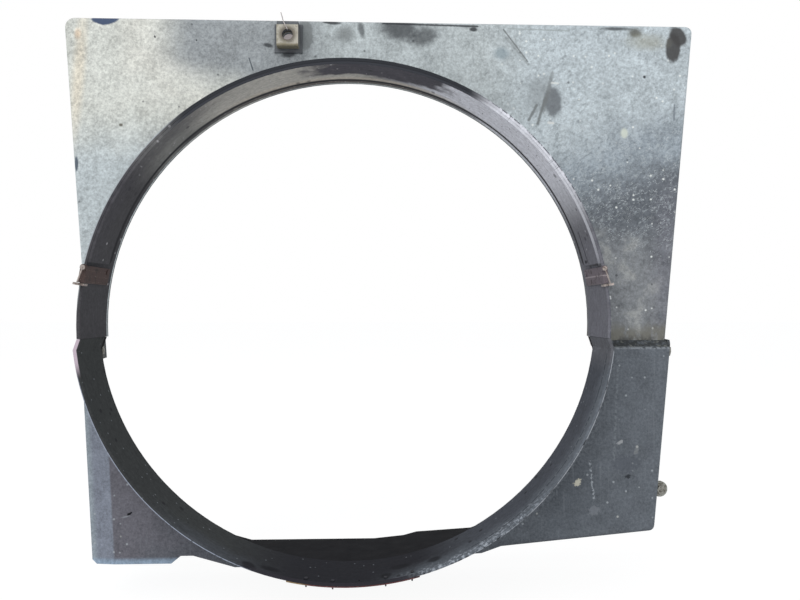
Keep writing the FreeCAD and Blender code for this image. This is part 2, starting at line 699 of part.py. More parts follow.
def clip_nut_seat(body):
    """The raised pad, the moulded tab that hangs in front of it, and the hole through them."""
    half = "(Sizes.nut_width / 2)"
    left, right = f"(Sizes.nut_x - {half})", f"(Sizes.nut_x + {half})"
    top = "(Sizes.nut_bottom + Sizes.nut_height + Sizes.nut_slack)"
    crown = f"({top} + Sizes.tab_bridge)"
    margin = "Sizes.pad_margin"
    inside = "(Sizes.wall / 2)"
    slab(body, "nut_pad", box_corners(f"({left} - {margin})", f"({right} + {margin})",
                                      f"(Sizes.nut_bottom - {margin})", crown),
         "(Sizes.pan_depth + Sizes.pad_height)", f"(Sizes.pad_height + {inside})")
    leaf = "(Sizes.nut_sheet + Sizes.nut_slack * 2)"
    rear = f"(Sizes.pan_depth + Sizes.pad_height + {leaf})"
    slab(body, "nut_tab", box_corners(left, right, f"(Sizes.nut_bottom + {leaf})", crown),
         f"({rear} + Sizes.nut_grip)", "Sizes.nut_grip")
    slab(body, "nut_bridge", box_corners(left, right, top, crown), rear, leaf)
    bore(body, "nut_seat_hole", "(Sizes.nut_hole + Sizes.nut_slack * 4)",
         ("Sizes.nut_x", "(Sizes.nut_bottom + Sizes.nut_hole_rise)"),
         f"({rear} + Sizes.nut_grip)", "Sizes.wall * 5")


def solid(kind, name, frame, **sizes):
    """A Part primitive whose sizes are expressions."""
    feature = document.addObject(kind, name)
    for field, expression in sizes.items():
        feature.setExpression(field, expression)
    feature.Placement = frame
    return feature


def rod(name, frame, radius, start, length):
    """A round bar along Z of a frame."""
    return solid("Part::Cylinder", name, shifted(frame, 0, 0, start), Radius=radius, Height=length)


def hexagon(name, frame, radius, start, length):
    bar = solid("Part::Prism", name, shifted(frame, 0, 0, start), Circumradius=radius, Height=length)
    bar.Polygon = 6
    return bar


def node_of(name, solids):
    """Join solids into one node; those that do not touch stay separate solids of a group."""
    group = document.addObject("Part::MultiFuse", name)
    group.Shapes = solids
    document.recompute()
    nodes.append(group)
    return group


def node_cut(name, base, tools):
    """A node made of one solid with others cut from it."""
    tool = tools[0]
    if len(tools) > 1:
        tool = document.addObject("Part::MultiFuse", name + "_tools")
        tool.Shapes = tools
    cut = document.addObject("Part::Cut", name)
    cut.Base = base
    cut.Tool = tool
    document.recompute()
    nodes.append(cut)
    return cut


def group_of(name, solids):
    group = document.addObject("Part::MultiFuse", name)
    group.Shapes = solids
    return group


def make_lap_fasteners(side):
    """Two bolts through the lap of one side wall, each with a washer outside and a nut inside."""
    spots = [shifted(wall_frame(side), x, y, 0) for x, y in lap_bolt_spots(side)]
    level = "(-Sizes.lap_bolt_drop)"
    upper, lower = (edge_right, edge_right) if side == "right" else (edge_left, low_left)
    step = f"abs({lower(level, 'Sizes.lap_step')} - {upper(level)})"
    out = (f"(({step} + Sizes.joggle * tan(Sizes.side_draft)) * cos(Sizes.side_draft)"
           " + Sizes.lap_gap / 2)")
    seat = f"({out} + Sizes.lap_washer_height)"
    tail = "(Sizes.wall + Sizes.lap_nut_height + Sizes.lap_bolt_tail)"
    bolts, rims, bores, nuts, threads = [], [], [], [], []
    for number, frame in enumerate(spots):
        tag = f"{side}_lap_{number}"
        bolts.append(rod(tag + "_shank", frame, "Sizes.lap_bolt_radius", f"(-{tail})",
                         f"({tail} + {seat})"))
        bolts.append(hexagon(tag + "_head", frame, "Sizes.lap_head_radius", seat,
                             "Sizes.lap_head_height"))
        rims.append(rod(tag + "_rim", frame, "Sizes.lap_washer_radius", out,
                        "Sizes.lap_washer_height"))
        bores.append(rod(tag + "_bore", frame, "Sizes.lap_bolt_hole", out, "Sizes.lap_washer_height"))
        nuts.append(hexagon(tag + "_nut", frame, "Sizes.lap_nut_radius",
                            "(-Sizes.wall - Sizes.lap_nut_height)", "Sizes.lap_nut_height"))
        threads.append(rod(tag + "_thread", frame, "Sizes.lap_bolt_radius", f"(-{tail})", tail))
    node_of(f"{side}_lap_bolts", bolts)
    node_cut(f"{side}_lap_washers", group_of(f"{side}_rims", rims), bores)
    node_cut(f"{side}_lap_nuts", group_of(f"{side}_blanks", nuts), threads)


def make_side_fastener():
    """The bolt and washer left in the long ear."""
    level = "(-Sizes.lower_ear_drop)"
    toward_engine = FreeCAD.Rotation(FreeCAD.Vector(1, 0, 0), 90)
    frame = FreeCAD.Placement(vector("Sizes.side_ear_x", "(-Sizes.wall)", level), toward_engine)
    collar = "Sizes.side_washer_height"
    head = f"({collar} + Sizes.side_collar_height)"
    node_of("side_bolt", [
        rod("side_shank", frame, "Sizes.side_bolt_radius", f"({collar} - Sizes.side_bolt_length)",
            "Sizes.side_bolt_length"),
        rod("side_collar", frame, "Sizes.side_collar_radius", collar, "Sizes.side_collar_height"),
        hexagon("side_head", frame, "Sizes.side_head_radius", head, "Sizes.side_head_height")])
    node_cut("side_bolt_washer", rod("side_rim", frame, "Sizes.side_washer_radius", "0", collar),
             [rod("side_rim_bore", frame, "Sizes.side_hole", "0", collar)])


def make_liner():
    """The trim inside the upper half of the ring, its ends cut on a slant and rounded."""
    body = new_body("upper_ring_liner")
    outer = "(Sizes.ring_radius - Sizes.liner_gap)"
    depth = f"({LIP} - Sizes.liner_gap)"
    length = f"({depth} - Sizes.pan_depth - Sizes.liner_back)"
    upper_band(body, "liner_band", (f"({outer} - Sizes.liner_thickness)", outer),
               "Sizes.liner_end_front", depth, length)
    rear = "(-Sizes.pan_depth - Sizes.liner_back)"
    low = "(Sizes.liner_end_front - Sizes.wall)"
    sketch = sketch_on(body, "liner_slant", "YZ_Plane")
    draw_polygon(sketch, [(f"(-{depth})", low), (f"(-{depth})", "Sizes.liner_end_front"),
                          (rear, "Sizes.liner_end_rear"), (f"({rear} + 1)", "Sizes.liner_end_rear"),
                          (f"({rear} + 1)", low)])
    pocket(body, sketch, "Sizes.ring_radius * 3", middle=True)
    round_edges(body, "liner_corners", "Sizes.liner_corner", lambda edge: (
        edge.BoundBox.YLength < 0.01 and edge.BoundBox.YMin > value(rear) - 0.01
        and edge.BoundBox.ZMax < sheet.liner_end_rear + sheet.wall
        and edge.BoundBox.XLength < sheet.wall * 2))


def u_outline(sheet_size, inner_end, outer_end, extra=()):
    """A strip folded over the lip of the ring, in the plane across it: pairs of along and out."""
    near = "(Sizes.ring_radius - Sizes.liner_gap * 2)"
    far = "(Sizes.ring_radius + Sizes.wall + Sizes.liner_gap)"
    web = f"({LIP} + Sizes.liner_gap)"
    front = f"({web} + {sheet_size})"
    return [(f"({near} - {sheet_size})", inner_end), (f"({near} - {sheet_size})", front), *extra,
            (f"({far} + {sheet_size})", front), (f"({far} + {sheet_size})", outer_end),
            (far, outer_end), (far, web), (near, web), (near, inner_end)]


def turned_pad(body, name, frame, corners, length):
    """A strip whose outline lies across the lip, with its width along the frame's Y axis."""
    sketch = sketch_in(body, name, frame)
    draw_polygon(sketch, corners)
    return pad(body, sketch, length, middle=True)


def edge_frame(side):
    """The clip's frame turned so that X points outwards and Y along the fan's axis."""
    clip = clip_frame(side).Rotation
    out = clip.multVec(FreeCAD.Vector(0, 0, 1))
    rear = FreeCAD.Vector(0, -1, 0)
    return FreeCAD.Placement(FreeCAD.Vector(), FreeCAD.Rotation(out, rear, out.cross(rear), "ZXY"))


def eye_frame(side):
    """A frame at the middle of the eye, Z pointing towards the engine."""
    clip = clip_frame(side)
    out = clip.Rotation.multVec(FreeCAD.Vector(0, 0, 1))
    up = clip.Rotation.multVec(FreeCAD.Vector(0, 1, 0))
    forward = FreeCAD.Vector(0, -1, 0)
    centre = out * (sheet.ring_radius + sheet.eye_out) + up * sheet.eye_rise
    return FreeCAD.Placement(centre, FreeCAD.Rotation(up.cross(forward), up, forward, "ZYX"))


def make_clip(side):
    """The steel strap over the lip, the eye on its front, and the rivet that holds it."""
    body = new_body(f"{side}_ring_clip")
    frame = edge_frame(side)
    turned_pad(body, f"{side}_strap", frame,
               u_outline("Sizes.clip_sheet", "(Sizes.pan_depth + Sizes.clip_back)",
                         f"({LIP} - Sizes.clip_return)"), "Sizes.clip_height")
    front = f"({LIP} + Sizes.liner_gap + Sizes.clip_sheet)"
    eye = shifted(eye_frame(side), 0, 0, front)
    sketch = sketch_in(body, f"{side}_eye", eye)
    draw_circle(sketch, "Sizes.eye_radius")
    pad(body, sketch, "Sizes.eye_length")
    drill(body, f"{side}_eye_bore", shifted(eye, 0, 0, "Sizes.eye_length"), "Sizes.eye_bore",
          [("0", "0")], "Sizes.eye_length * 2")
    drill(body, f"{side}_strap_hole", shifted(clip_frame(side), 0, 0, "Sizes.ring_radius"),
          "(Sizes.clip_rivet_radius + Sizes.lap_gap / 2)", [rivet_spot(side)], "Sizes.wall")
    rivet = shifted(clip_frame(side), *rivet_spot(side), 0)
    inner = "(Sizes.ring_radius - Sizes.liner_gap * 2 - Sizes.clip_sheet)"
    outer = "(Sizes.ring_radius + Sizes.wall)"
    node_of(f"{side}_clip_rivet", [
        rod(f"{side}_rivet_shank", rivet, "Sizes.clip_rivet_radius", inner, f"({outer} - {inner})"),
        rod(f"{side}_rivet_head", rivet, "Sizes.clip_rivet_head",
            f"({inner} - Sizes.clip_rivet_head_height)", "Sizes.clip_rivet_head_height"),
        rod(f"{side}_rivet_tail", rivet, "Sizes.clip_rivet_head", outer,
            "Sizes.clip_rivet_head_height")])


def make_hook_strip(side):
    """The narrow strip under the clip, with the tab on which the wire bail rests."""
    body = new_body(f"{side}_hook_strip")
    hook = "Sizes.hook_sheet"
    end = f"({LIP} - Sizes.hook_return)"
    front = f"({LIP} + Sizes.liner_gap + {hook})"
    far = f"(Sizes.ring_radius + Sizes.wall + Sizes.liner_gap + {hook})"
    tip = f"({front} + Sizes.hook_forward)"
    tab = [(f"({far} - {hook} * 2)", front), (f"({far} - {hook} * 2)", tip),
           (f"({far} + Sizes.hook_reach)", tip), (f"({far} + Sizes.hook_reach)", front)]
    drop = "Sizes.hook_drop" if SIDES[side] > 0 else "(-Sizes.hook_drop)"
    turned_pad(body, f"{side}_hook", shifted(edge_frame(side), 0, 0, drop),
               u_outline(hook, end, end, tab), "Sizes.hook_height")


def make_bail(side):
    """The wire bail: a pin that turns in the eye, its flat head, and the wire down to the hook."""
    eye = eye_frame(side)
    back = f"({LIP} + Sizes.liner_gap)"
    face = f"({back} + Sizes.clip_sheet + Sizes.eye_length + Sizes.lap_gap)"
    across = f"({face} + Sizes.bail_wire_radius)"
    reach = vector("Sizes.bail_lean", "-Sizes.bail_drop", 0)
    reach.x *= SIDES[side]
    start = shifted(eye, 0, 0, across)
    lean = FreeCAD.Placement(FreeCAD.Vector(), FreeCAD.Rotation(FreeCAD.Vector(0, 0, 1), reach))
    wire = start.multiply(lean)
    end = start.multiply(FreeCAD.Placement(reach, FreeCAD.Rotation()))
    length = "sqrt(Sizes.bail_lean^2 + Sizes.bail_drop^2)"
    node_of(f"{side}_bail", [
        rod(f"{side}_bail_pin", eye, "Sizes.bail_pin_radius", back, f"({face} - {back})"),
        rod(f"{side}_bail_head", eye, "Sizes.bail_head_radius", face, "Sizes.bail_head_height"),
        rod(f"{side}_bail_wire", wire, "Sizes.bail_wire_radius", "0", length),
        solid("Part::Sphere", f"{side}_bail_end", end, Radius="Sizes.bail_wire_radius")])


def pin_places():
    """Sideways places of the holes in the lip, the fixing pin of the middle one missing."""
    return [(f"(Sizes.pin_start + {number} * Sizes.pin_pitch)", number != 2) for number in range(5)]


def pin_holes(body):
    """The row of holes through the bottom of the ring or the strip under it."""
    sketch = sketch_on(body, body.Name + "_pin_holes", "XY_Plane", "(-Sizes.low_ring_depth * 0.92)")
    for place, _ in pin_places():
        draw_circle(sketch, "Sizes.pin_bore", (place, f"(Sizes.pin_setback - {LIP})"))
    pocket(body, sketch, "Sizes.low_ring_depth * 0.1")


def make_lip_strip():
    """The rubbing strip round the outside of the lip at the bottom."""
    body = new_body("lip_strip")
    inner = "(Sizes.wall + Sizes.liner_gap)"
    level = "(Sizes.low_ring_rise - Sizes.low_ring_depth * 0.9)"
    lower_band(body, "strip_band", (inner, f"({inner} + Sizes.strip_thickness)"), level, LIP,
               "Sizes.strip_width")
    low, high = "(-Sizes.low_ring_depth * 1.1)", "0"
    far = "Sizes.ring_radius"
    for name, left, right in (("strip_left_end", f"(-{far})", "(-Sizes.strip_left)"),
                              ("strip_right_end", "Sizes.strip_right", far)):
        opening(body, name, box_corners(left, right, low, high), LIP, "Sizes.strip_width")
    pin_holes(body)


def make_lip_pins():
    """The push pins through the lip and the strip, one of the five missing."""
    pins = []
    skin = "(Sizes.wall + Sizes.liner_gap + Sizes.strip_thickness)"

    def bottom(place, out):
        across, down = low_oval(out)
        return f"(Sizes.low_ring_rise - {down} * sqrt(1 - ({place} / {across})^2))"

    down = FreeCAD.Rotation(FreeCAD.Vector(1, 0, 0), 180)
    for number, (place, present) in enumerate(pin_places()):
        if not present:
            continue
        near = f"(abs({place}) + Sizes.pin_head_radius)"
        seat = bottom(near, "0")
        tail = f"({bottom(place, skin)} - Sizes.pin_tail)"
        frame = FreeCAD.Placement(vector(place, f"(Sizes.pin_setback - {LIP})", seat), down)
        pins.append(rod(f"pin_{number}_shank", frame, "Sizes.pin_radius", "0", f"({seat} - {tail})"))
        pins.append(rod(f"pin_{number}_head", frame, "Sizes.pin_head_radius",
                        "(-Sizes.pin_head_height)", "Sizes.pin_head_height"))
    node_of("lip_pins", pins)


def make_clip_nut():
    """The sheet-metal nut pushed over the moulded tab from below."""
    body = new_body("top_clip_nut")
    leaf, slack = "Sizes.nut_sheet", "Sizes.nut_slack"
    rear = f"(-Sizes.pan_depth - Sizes.pad_height - {slack})"
    front = f"({rear} - {leaf} * 2 - {slack} * 2 - Sizes.nut_grip)"
    bottom = "Sizes.nut_bottom"
    top = f"({bottom} + Sizes.nut_height)"
    short = f"({top} - {slack})"
    sketch = sketch_on(body, "nut_profile", "YZ_Plane", "(Sizes.nut_x - Sizes.nut_width / 2)")
    draw_polygon(sketch, [(front, top), (front, bottom), (rear, bottom), (rear, short),
                          (f"({rear} - {leaf})", short), (f"({rear} - {leaf})", f"({bottom} + {leaf})"),
                          (f"({front} + {leaf})", f"({bottom} + {leaf})"), (f"({front} + {leaf})", top)])
    pad(body, sketch, "Sizes.nut_width")
    round_edges(body, "nut_bend", "Sizes.nut_bend", lambda edge: (
        edge.BoundBox.XLength > sheet.nut_width / 2 and edge.BoundBox.ZMax < sheet.nut_bottom + 0.01))
    hole = ("Sizes.nut_x", f"({bottom} + Sizes.nut_hole_rise)")
    bore(body, "nut_hole_cut", "Sizes.nut_hole", hole, f"(-{front})", f"({rear} - {front})")


def make_tie_wire():
    """A loose end of wire hooked through the clip nut and bent up over the edge of the plate."""
    leaf = "(Sizes.nut_sheet + Sizes.nut_slack)"
    front = f"(-Sizes.pan_depth - Sizes.pad_height - {leaf} * 2 - Sizes.nut_grip - Sizes.nut_slack)"
    run = f"({front} - Sizes.wire_radius)"
    low = "(Sizes.nut_bottom + Sizes.nut_hole_rise + Sizes.nut_hole - Sizes.wire_radius)"
    points = [vector("Sizes.nut_x", f"({front} + Sizes.wire_tuck)", low),
              vector("Sizes.nut_x", run, low),
              vector("(Sizes.nut_x - Sizes.wire_bend_out)", run, f"({low} + Sizes.wire_bend_rise)"),
              vector("(Sizes.nut_x - Sizes.wire_out)", run, f"({low} + Sizes.wire_rise)")]
    parts = []
    for number, (start, end) in enumerate(zip(points, points[1:])):
        turn = FreeCAD.Rotation(FreeCAD.Vector(0, 0, 1), end - start)
        parts.append(rod(f"wire_{number}", FreeCAD.Placement(start, turn), "Sizes.wire_radius", "0",
                         str((end - start).Length)))
        parts.append(solid("Part::Sphere", f"wire_end_{number}",
                           FreeCAD.Placement(end, FreeCAD.Rotation()), Radius="Sizes.wire_knee"))
    node_of("tie_wire", parts)


make_upper_shell()
make_lower_shell()
make_liner()
for side in SIDES:
    make_clip(side)
    make_hook_strip(side)
    make_bail(side)
    make_lap_fasteners(side)
make_side_fastener()
make_lip_strip()
make_lip_pins()
make_clip_nut()
make_tie_wire()
document.recompute()

for feature in document.Objects:
    if "Invalid" in feature.State or "Error" in feature.State:
        raise RuntimeError(f"{feature.Name}: {feature.State}")
for node in nodes:
    if node.Shape.isNull() or not node.Shape.isValid() or not node.Shape.Solids:
        raise RuntimeError(f"{node.Label} has no valid solid")

os.makedirs("parts", exist_ok=True)
for node in nodes:
    node.Shape.exportStep(f"parts/{node.Label}.step")
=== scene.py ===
"""Looks for the radiator fan shroud: materials for every CAD piece, light, floor and camera."""
import math
import bpy
from mathutils import Euler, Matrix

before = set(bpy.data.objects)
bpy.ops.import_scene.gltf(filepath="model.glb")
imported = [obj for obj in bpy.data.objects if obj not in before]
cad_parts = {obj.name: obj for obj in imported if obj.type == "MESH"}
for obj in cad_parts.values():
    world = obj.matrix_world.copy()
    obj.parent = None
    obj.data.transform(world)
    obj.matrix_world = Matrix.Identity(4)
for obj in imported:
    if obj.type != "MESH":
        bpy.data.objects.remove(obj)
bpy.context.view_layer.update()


# The upper moulding is a pale plastic that has chalked, with dust and oil smears on its plate.
# Two small classes write the shader maths that all the materials below share.
class Value:
    """A shader socket that can be used in Python expressions."""

    def __init__(self, tree, socket):
        self.tree = tree
        self.socket = socket

    def math(self, operation, *others, clamp=False):
        node = self.tree.nodes.new("ShaderNodeMath")
        node.operation = operation
        node.use_clamp = clamp
        for slot, item in zip(node.inputs, (self, *others)):
            if isinstance(item, Value):
                self.tree.links.new(item.socket, slot)
            else:
                slot.default_value = item
        return Value(self.tree, node.outputs[0])

    def __add__(self, other):
        return self.math("ADD", other)

    def __radd__(self, other):
        return self.math("ADD", other)

    def __sub__(self, other):
        return self.math("SUBTRACT", other)

    def __rsub__(self, other):
        return (self * -1.0) + other

    def __mul__(self, other):
        return self.math("MULTIPLY", other)

    def __rmul__(self, other):
        return self.math("MULTIPLY", other)

    def __truediv__(self, other):
        return self.math("DIVIDE", other)

    def __abs__(self):
        return self.math("ABSOLUTE")

    def less(self, other):
        return self.math("LESS_THAN", other)

    def greater(self, other):
        return self.math("GREATER_THAN", other)

    def power(self, other):
        return self.math("POWER", other)

    def clamped(self):
        return self.math("ADD", 0.0, clamp=True)

    def ramp(self, start, end):
        """0 below start, 1 above end, smooth between; start may be the larger."""
        node = self.tree.nodes.new("ShaderNodeMapRange")
        node.interpolation_type = "SMOOTHSTEP"
        self.tree.links.new(self.socket, node.inputs["Value"])
        node.inputs["From Min"].default_value = start
        node.inputs["From Max"].default_value = end
        return Value(self.tree, node.outputs["Result"])


class Surface:
    """One material being built: its coordinates in metres, its patterns and its colour."""

    def __init__(self, name, roughness=0.7, metallic=0.0, shine=0.2):
        self.material = bpy.data.materials.new(name)
        self.material.use_nodes = True
        self.tree = self.material.node_tree
        self.shader = self.tree.nodes["Principled BSDF"]
        self.shader.inputs["Metallic"].default_value = metallic
        self.shader.inputs["Roughness"].default_value = roughness
        self.shader.inputs["Specular IOR Level"].default_value = shine
        place = self.node("ShaderNodeTexCoord")
        self.place = place.outputs["Object"]
        split = self.node("ShaderNodeSeparateXYZ", Vector=self.place)
        self.x, self.y, self.z = (Value(self.tree, output) for output in split.outputs)
        facing = self.node("ShaderNodeNewGeometry")
        turned = self.node("ShaderNodeSeparateXYZ", Vector=facing.outputs["Normal"])
        self.nx, self.ny, self.nz = (Value(self.tree, output) for output in turned.outputs)
        self.out = (self.x * self.x + self.z * self.z).math("SQRT")
        self.around = self.z.math("ARCTAN2", self.x) * (180.0 / math.pi)
        self.color = None

    def node(self, kind, settings=None, **values):
        node = self.tree.nodes.new(kind)
        for key, item in (settings or {}).items():
            setattr(node, key, item)
        for key, item in values.items():
            socket = node.inputs[key.replace("_", " ")]
            if isinstance(item, Value):
                item = item.socket
            if isinstance(item, bpy.types.NodeSocket):
                self.tree.links.new(item, socket)
            else:
                socket.default_value = item
        return node

    def vector(self, x, y, z):
        return self.node("ShaderNodeCombineXYZ", X=x, Y=y, Z=z).outputs[0]

    def noise(self, scale, detail=4.0, at=None):
        """A cloudy pattern from 0 to 1, centred near 0.5; scale is how many per metre."""
        node = self.node("ShaderNodeTexNoise", Vector=at or self.place, Scale=scale, Detail=detail,
                         Roughness=0.55)
        return Value(self.tree, node.outputs["Fac"])

    def paint(self, color, mask=None):
        """Lay a colour over what is there, as far as the mask says."""
        shade = (*color, 1.0) if isinstance(color, tuple) else color
        if self.color is None:
            node = self.node("ShaderNodeRGB")
            node.outputs[0].default_value = shade
            self.color = node.outputs[0]
            return
        node = self.node("ShaderNodeMix", {"data_type": "RGBA"})
        self.tree.links.new(mask.socket, node.inputs[0])
        self.tree.links.new(self.color, node.inputs[6])
        if isinstance(shade, bpy.types.NodeSocket):
            self.tree.links.new(shade, node.inputs[7])
        else:
            node.inputs[7].default_value = shade
        self.color = node.outputs[2]

    def shade(self, factor):
        """Darken or lighten by a grey factor."""
        grey = self.node("ShaderNodeCombineColor", Red=factor, Green=factor, Blue=factor)
        node = self.node("ShaderNodeMix", {"data_type": "RGBA", "blend_type": "MULTIPLY"})
        node.inputs[0].default_value = 1.0
        self.tree.links.new(self.color, node.inputs[6])
        self.tree.links.new(grey.outputs[0], node.inputs[7])
        self.color = node.outputs[2]

    def spot(self, x, z, wide, tall, turn=0.0, soft=0.35, wobble=None):
        """An oval patch on a face seen along Y: 1 inside, 0 outside."""
        across, up = self.x - x, self.z - z
        c, s = math.cos(math.radians(turn)), math.sin(math.radians(turn))
        along = (across * c + up * s) / wide
        over = (up * c - across * s) / tall
        far = (along * along + over * over).math("SQRT")
        if wobble is not None:
            far = far + wobble
        return far.ramp(1.0 + soft, 1.0 - soft)

    def stroke(self, start, end, wide, soft=0.6):
        """A scratch or a thin smear from one place to another on a face seen along Y."""
        run, rise = end[0] - start[0], end[1] - start[1]
        across, up = self.x - start[0], self.z - start[1]
        share = ((across * run + up * rise) / (run * run + rise * rise)).clamped()
        off, over = across - share * run, up - share * rise
        far = (off * off + over * over).math("SQRT") + (self.noise(300, 2) - 0.5) * wide
        return far.ramp(wide * (1.0 + soft), wide * (1.0 - soft))

    def arc(self, start, end, soft=8.0):
        """1 between two angles round the fan's axis, in degrees from the right-hand side."""
        return (self.around.ramp(start - soft, start + soft)
                * self.around.ramp(end + soft, end - soft))

    def flecks(self, scale, size, share):
        """Small specks, one in some of the cells of a pattern."""
        node = self.node("ShaderNodeTexVoronoi", Vector=self.place, Scale=scale)
        chance = Value(self.tree, self.node("ShaderNodeSeparateColor",
                                            Color=node.outputs["Color"]).outputs[0])
        distance = Value(self.tree, node.outputs["Distance"])
        return distance.ramp(size, size * 0.5) * chance.less(share)

    def finish(self, roughness=None, bump=None, strength=0.3, reach=0.0005):
        self.tree.links.new(self.color, self.shader.inputs["Base Color"])
        if roughness is not None:
            self.tree.links.new(roughness.socket, self.shader.inputs["Roughness"])
        if bump is not None:
            node = self.node("ShaderNodeBump", Height=bump, Strength=strength, Distance=reach)
            self.tree.links.new(node.outputs[0], self.shader.inputs["Normal"])
        return self.material


def rgb(red, green, blue):
    """A colour as it looks on screen, given in 0 to 255, turned into linear light."""
    return tuple((c / 255 / 12.92) if c <= 10 else ((c / 255 + 0.055) / 1.055) ** 2.4
                 for c in (red, green, blue))


def dress(material, *nodes):
    for name in nodes:
        piece = bpy.data.objects[name]
        piece.data.materials.clear()
        piece.data.materials.append(material)


def band_colours(surface, edge):
    """Colours of the inside of the ring's upper half, by angle; edge is 1 near the lip."""
    grain = surface.noise(60, 5)
    surface.paint(rgb(66, 65, 68))
    surface.paint(rgb(120, 120, 117), surface.arc(118, 142, 7))
    surface.paint(rgb(176, 173, 166), surface.arc(84, 126, 7))
    surface.paint(rgb(214, 215, 222), surface.arc(27, 76, 12))
    surface.paint(rgb(106, 106, 113), surface.arc(-20, 22, 6))
    wave = (grain - 0.5) * 16.0
    smear = ((surface.around + wave).ramp(64, 70) * (surface.around + wave).ramp(103, 94)
             * (edge + (grain - 0.5) * 0.5).ramp(0.25, 0.42))
    surface.paint(rgb(72, 70, 77), smear)
    surface.paint(rgb(186, 177, 164), surface.arc(66, 118, 10) * edge.ramp(0.24, 0.08) * 0.85)
    surface.paint(rgb(66, 64, 70), surface.arc(120, 165, 12) * edge.ramp(0.35, 0.9) * 0.5)
    streaks = surface.noise(1, 4, at=surface.vector(surface.around * 0.25, surface.y * 900.0, 0.0))
    scuff = surface.noise(1, 3, at=surface.vector(surface.around * 0.9, surface.y * 260.0, 0.0))
    surface.shade((streaks - 0.5) * 1.0 + (scuff - 0.5) * 0.7
                  + (surface.noise(420, 3) - 0.5) * 0.6 + 1.03)
    # painted shade in the crease at the ring's root, broken up by the scuff pattern
    crease_shade = surface.arc(58, 134, 4) * edge.ramp(0.08, 0.02) * scuff.ramp(0.25, 0.45)
    surface.paint(rgb(48, 46, 52), crease_shade * 0.8)
    surface.paint(rgb(205, 204, 208), surface.flecks(170, 0.3, 0.10) * 0.5)
    surface.paint(rgb(44, 44, 48), surface.flecks(90, 0.28, 0.12) * 0.6)
    nick = surface.noise(1, 2, at=surface.vector(surface.around * 2.2, surface.y * 120.0, 0.0))
    surface.paint(rgb(58, 58, 64), nick.ramp(0.66, 0.72) * surface.arc(10, 78, 6) * 0.7)
    surface.paint(rgb(212, 212, 216), nick.ramp(0.32, 0.27) * surface.arc(80, 150, 6) * 0.45)
    return grain


# places from front to back: the front of the lip, just behind its front face, just in front of
# the plate, where the ring springs from, and the middle of the plate's thickness
LIP_FRONT = -0.1365
LIP_FACE = -0.1358
UPPER_RING_ROOT = -0.0785
MID_PLATE = -0.0765
upper = Surface("upper_plastic", roughness=0.62)
edge = upper.y.ramp(-0.09, LIP_FRONT)
band_colours(upper, edge)
ring_color = upper.color
upper.color = None

cloud = upper.noise(9, 4)
cloth = upper.noise(45, 5)
grain = upper.noise(260, 3)
drift = (cloud - 0.5) * 0.07
upper.paint(rgb(207, 209, 202))
upper.paint(rgb(205, 200, 190), cloud.ramp(0.45, 0.75) * 0.35)
upper.paint(rgb(193, 201, 203), (upper.z + drift).ramp(0.235, 0.16))
grey = (upper.z + upper.x * 0.5 + drift).ramp(0.172, 0.222) * (upper.x + drift).ramp(-0.215, -0.165)
upper.paint(rgb(148, 153, 156), grey * 0.95)
upper.paint(rgb(181, 188, 189), (upper.x + drift * 0.5).ramp(-0.06, -0.02))
upper.paint(rgb(187, 196, 200), (upper.x + drift).ramp(0.13, 0.22))
slope = upper.z - upper.x * 0.36 + drift
right = upper.x.ramp(0.1, 0.2)
upper.paint(rgb(150, 159, 166), slope.ramp(0.128, 0.070) * right)
upper.paint(rgb(102, 107, 113), slope.ramp(0.068, 0.018) * right)
upper.paint(rgb(130, 133, 136), (upper.z + drift).ramp(0.112, 0.07) * right)
upper.paint(rgb(160, 161, 158), cloth.ramp(0.52, 0.70) * upper.z.ramp(0.12, 0.08) * right * 0.6)
upper.paint(rgb(92, 96, 100), cloth.ramp(0.46, 0.32) * upper.z.ramp(0.14, 0.10) * right * 0.6)
upper.paint(rgb(112, 113, 121), (upper.x + drift * 0.3).ramp(0.325, 0.352)
            * (upper.z + drift).ramp(0.17, 0.11) * 0.65)
upper.paint(rgb(233, 212, 178), upper.spot(-0.2945, 0.270, 0.006, 0.060, -4, 0.8) * 0.35)
upper.paint(rgb(242, 205, 165), upper.spot(-0.2960, 0.3126, 0.003, 0.005, 0, 0.8) * 0.45)
fine = upper.noise(620, 2)
upper.shade((cloth - 0.5) * 0.75 + (grain - 0.5) * 0.95 + (fine - 0.5) * 0.80 + (cloud - 0.5) * 0.20
            + 1.0)
rub = upper.noise(1, 5, at=upper.vector(upper.x * 160.0, upper.z * 55.0, upper.y * 60.0))
upper.paint(rgb(118, 125, 130), rub.ramp(0.60, 0.74) * upper.x.ramp(-0.02, 0.1) * 0.35)
slanted = upper.vector(upper.x * 0.8 + upper.z * 0.6, upper.z * 1.5 - upper.x * 1.2, upper.y)
wander = upper.noise(150, 3, at=slanted)
worm = abs(wander - 0.5).ramp(0.016, 0.006) * upper.noise(120, 2).ramp(0.46, 0.52)
patchy = ((cloud * 0.5 + cloth * 0.5).ramp(0.34, 0.48)
          * (upper.x + upper.z * 0.2 + drift).ramp(0.19, 0.27))
upper.paint(rgb(204, 210, 212), worm * patchy * upper.z.ramp(0.04, 0.11)
            * upper.z.ramp(0.25, 0.20) * 0.8)
upper.paint(rgb(190, 198, 201), wander.ramp(0.57, 0.66) * patchy * upper.z.ramp(0.06, 0.13)
            * upper.z.ramp(0.25, 0.20) * 0.45)
upper.paint(rgb(96, 102, 107), wander.ramp(0.43, 0.36) * patchy * upper.z.ramp(0.06, 0.13) * 0.3)
upper.paint(rgb(232, 235, 232), upper.flecks(150, 0.24, 0.22)
            * (patchy + upper.x.ramp(-0.02, 0.06) * 0.25).clamped() * 0.85)
upper.paint(rgb(60, 64, 68), upper.flecks(75, 0.14, 0.16) * 0.65)
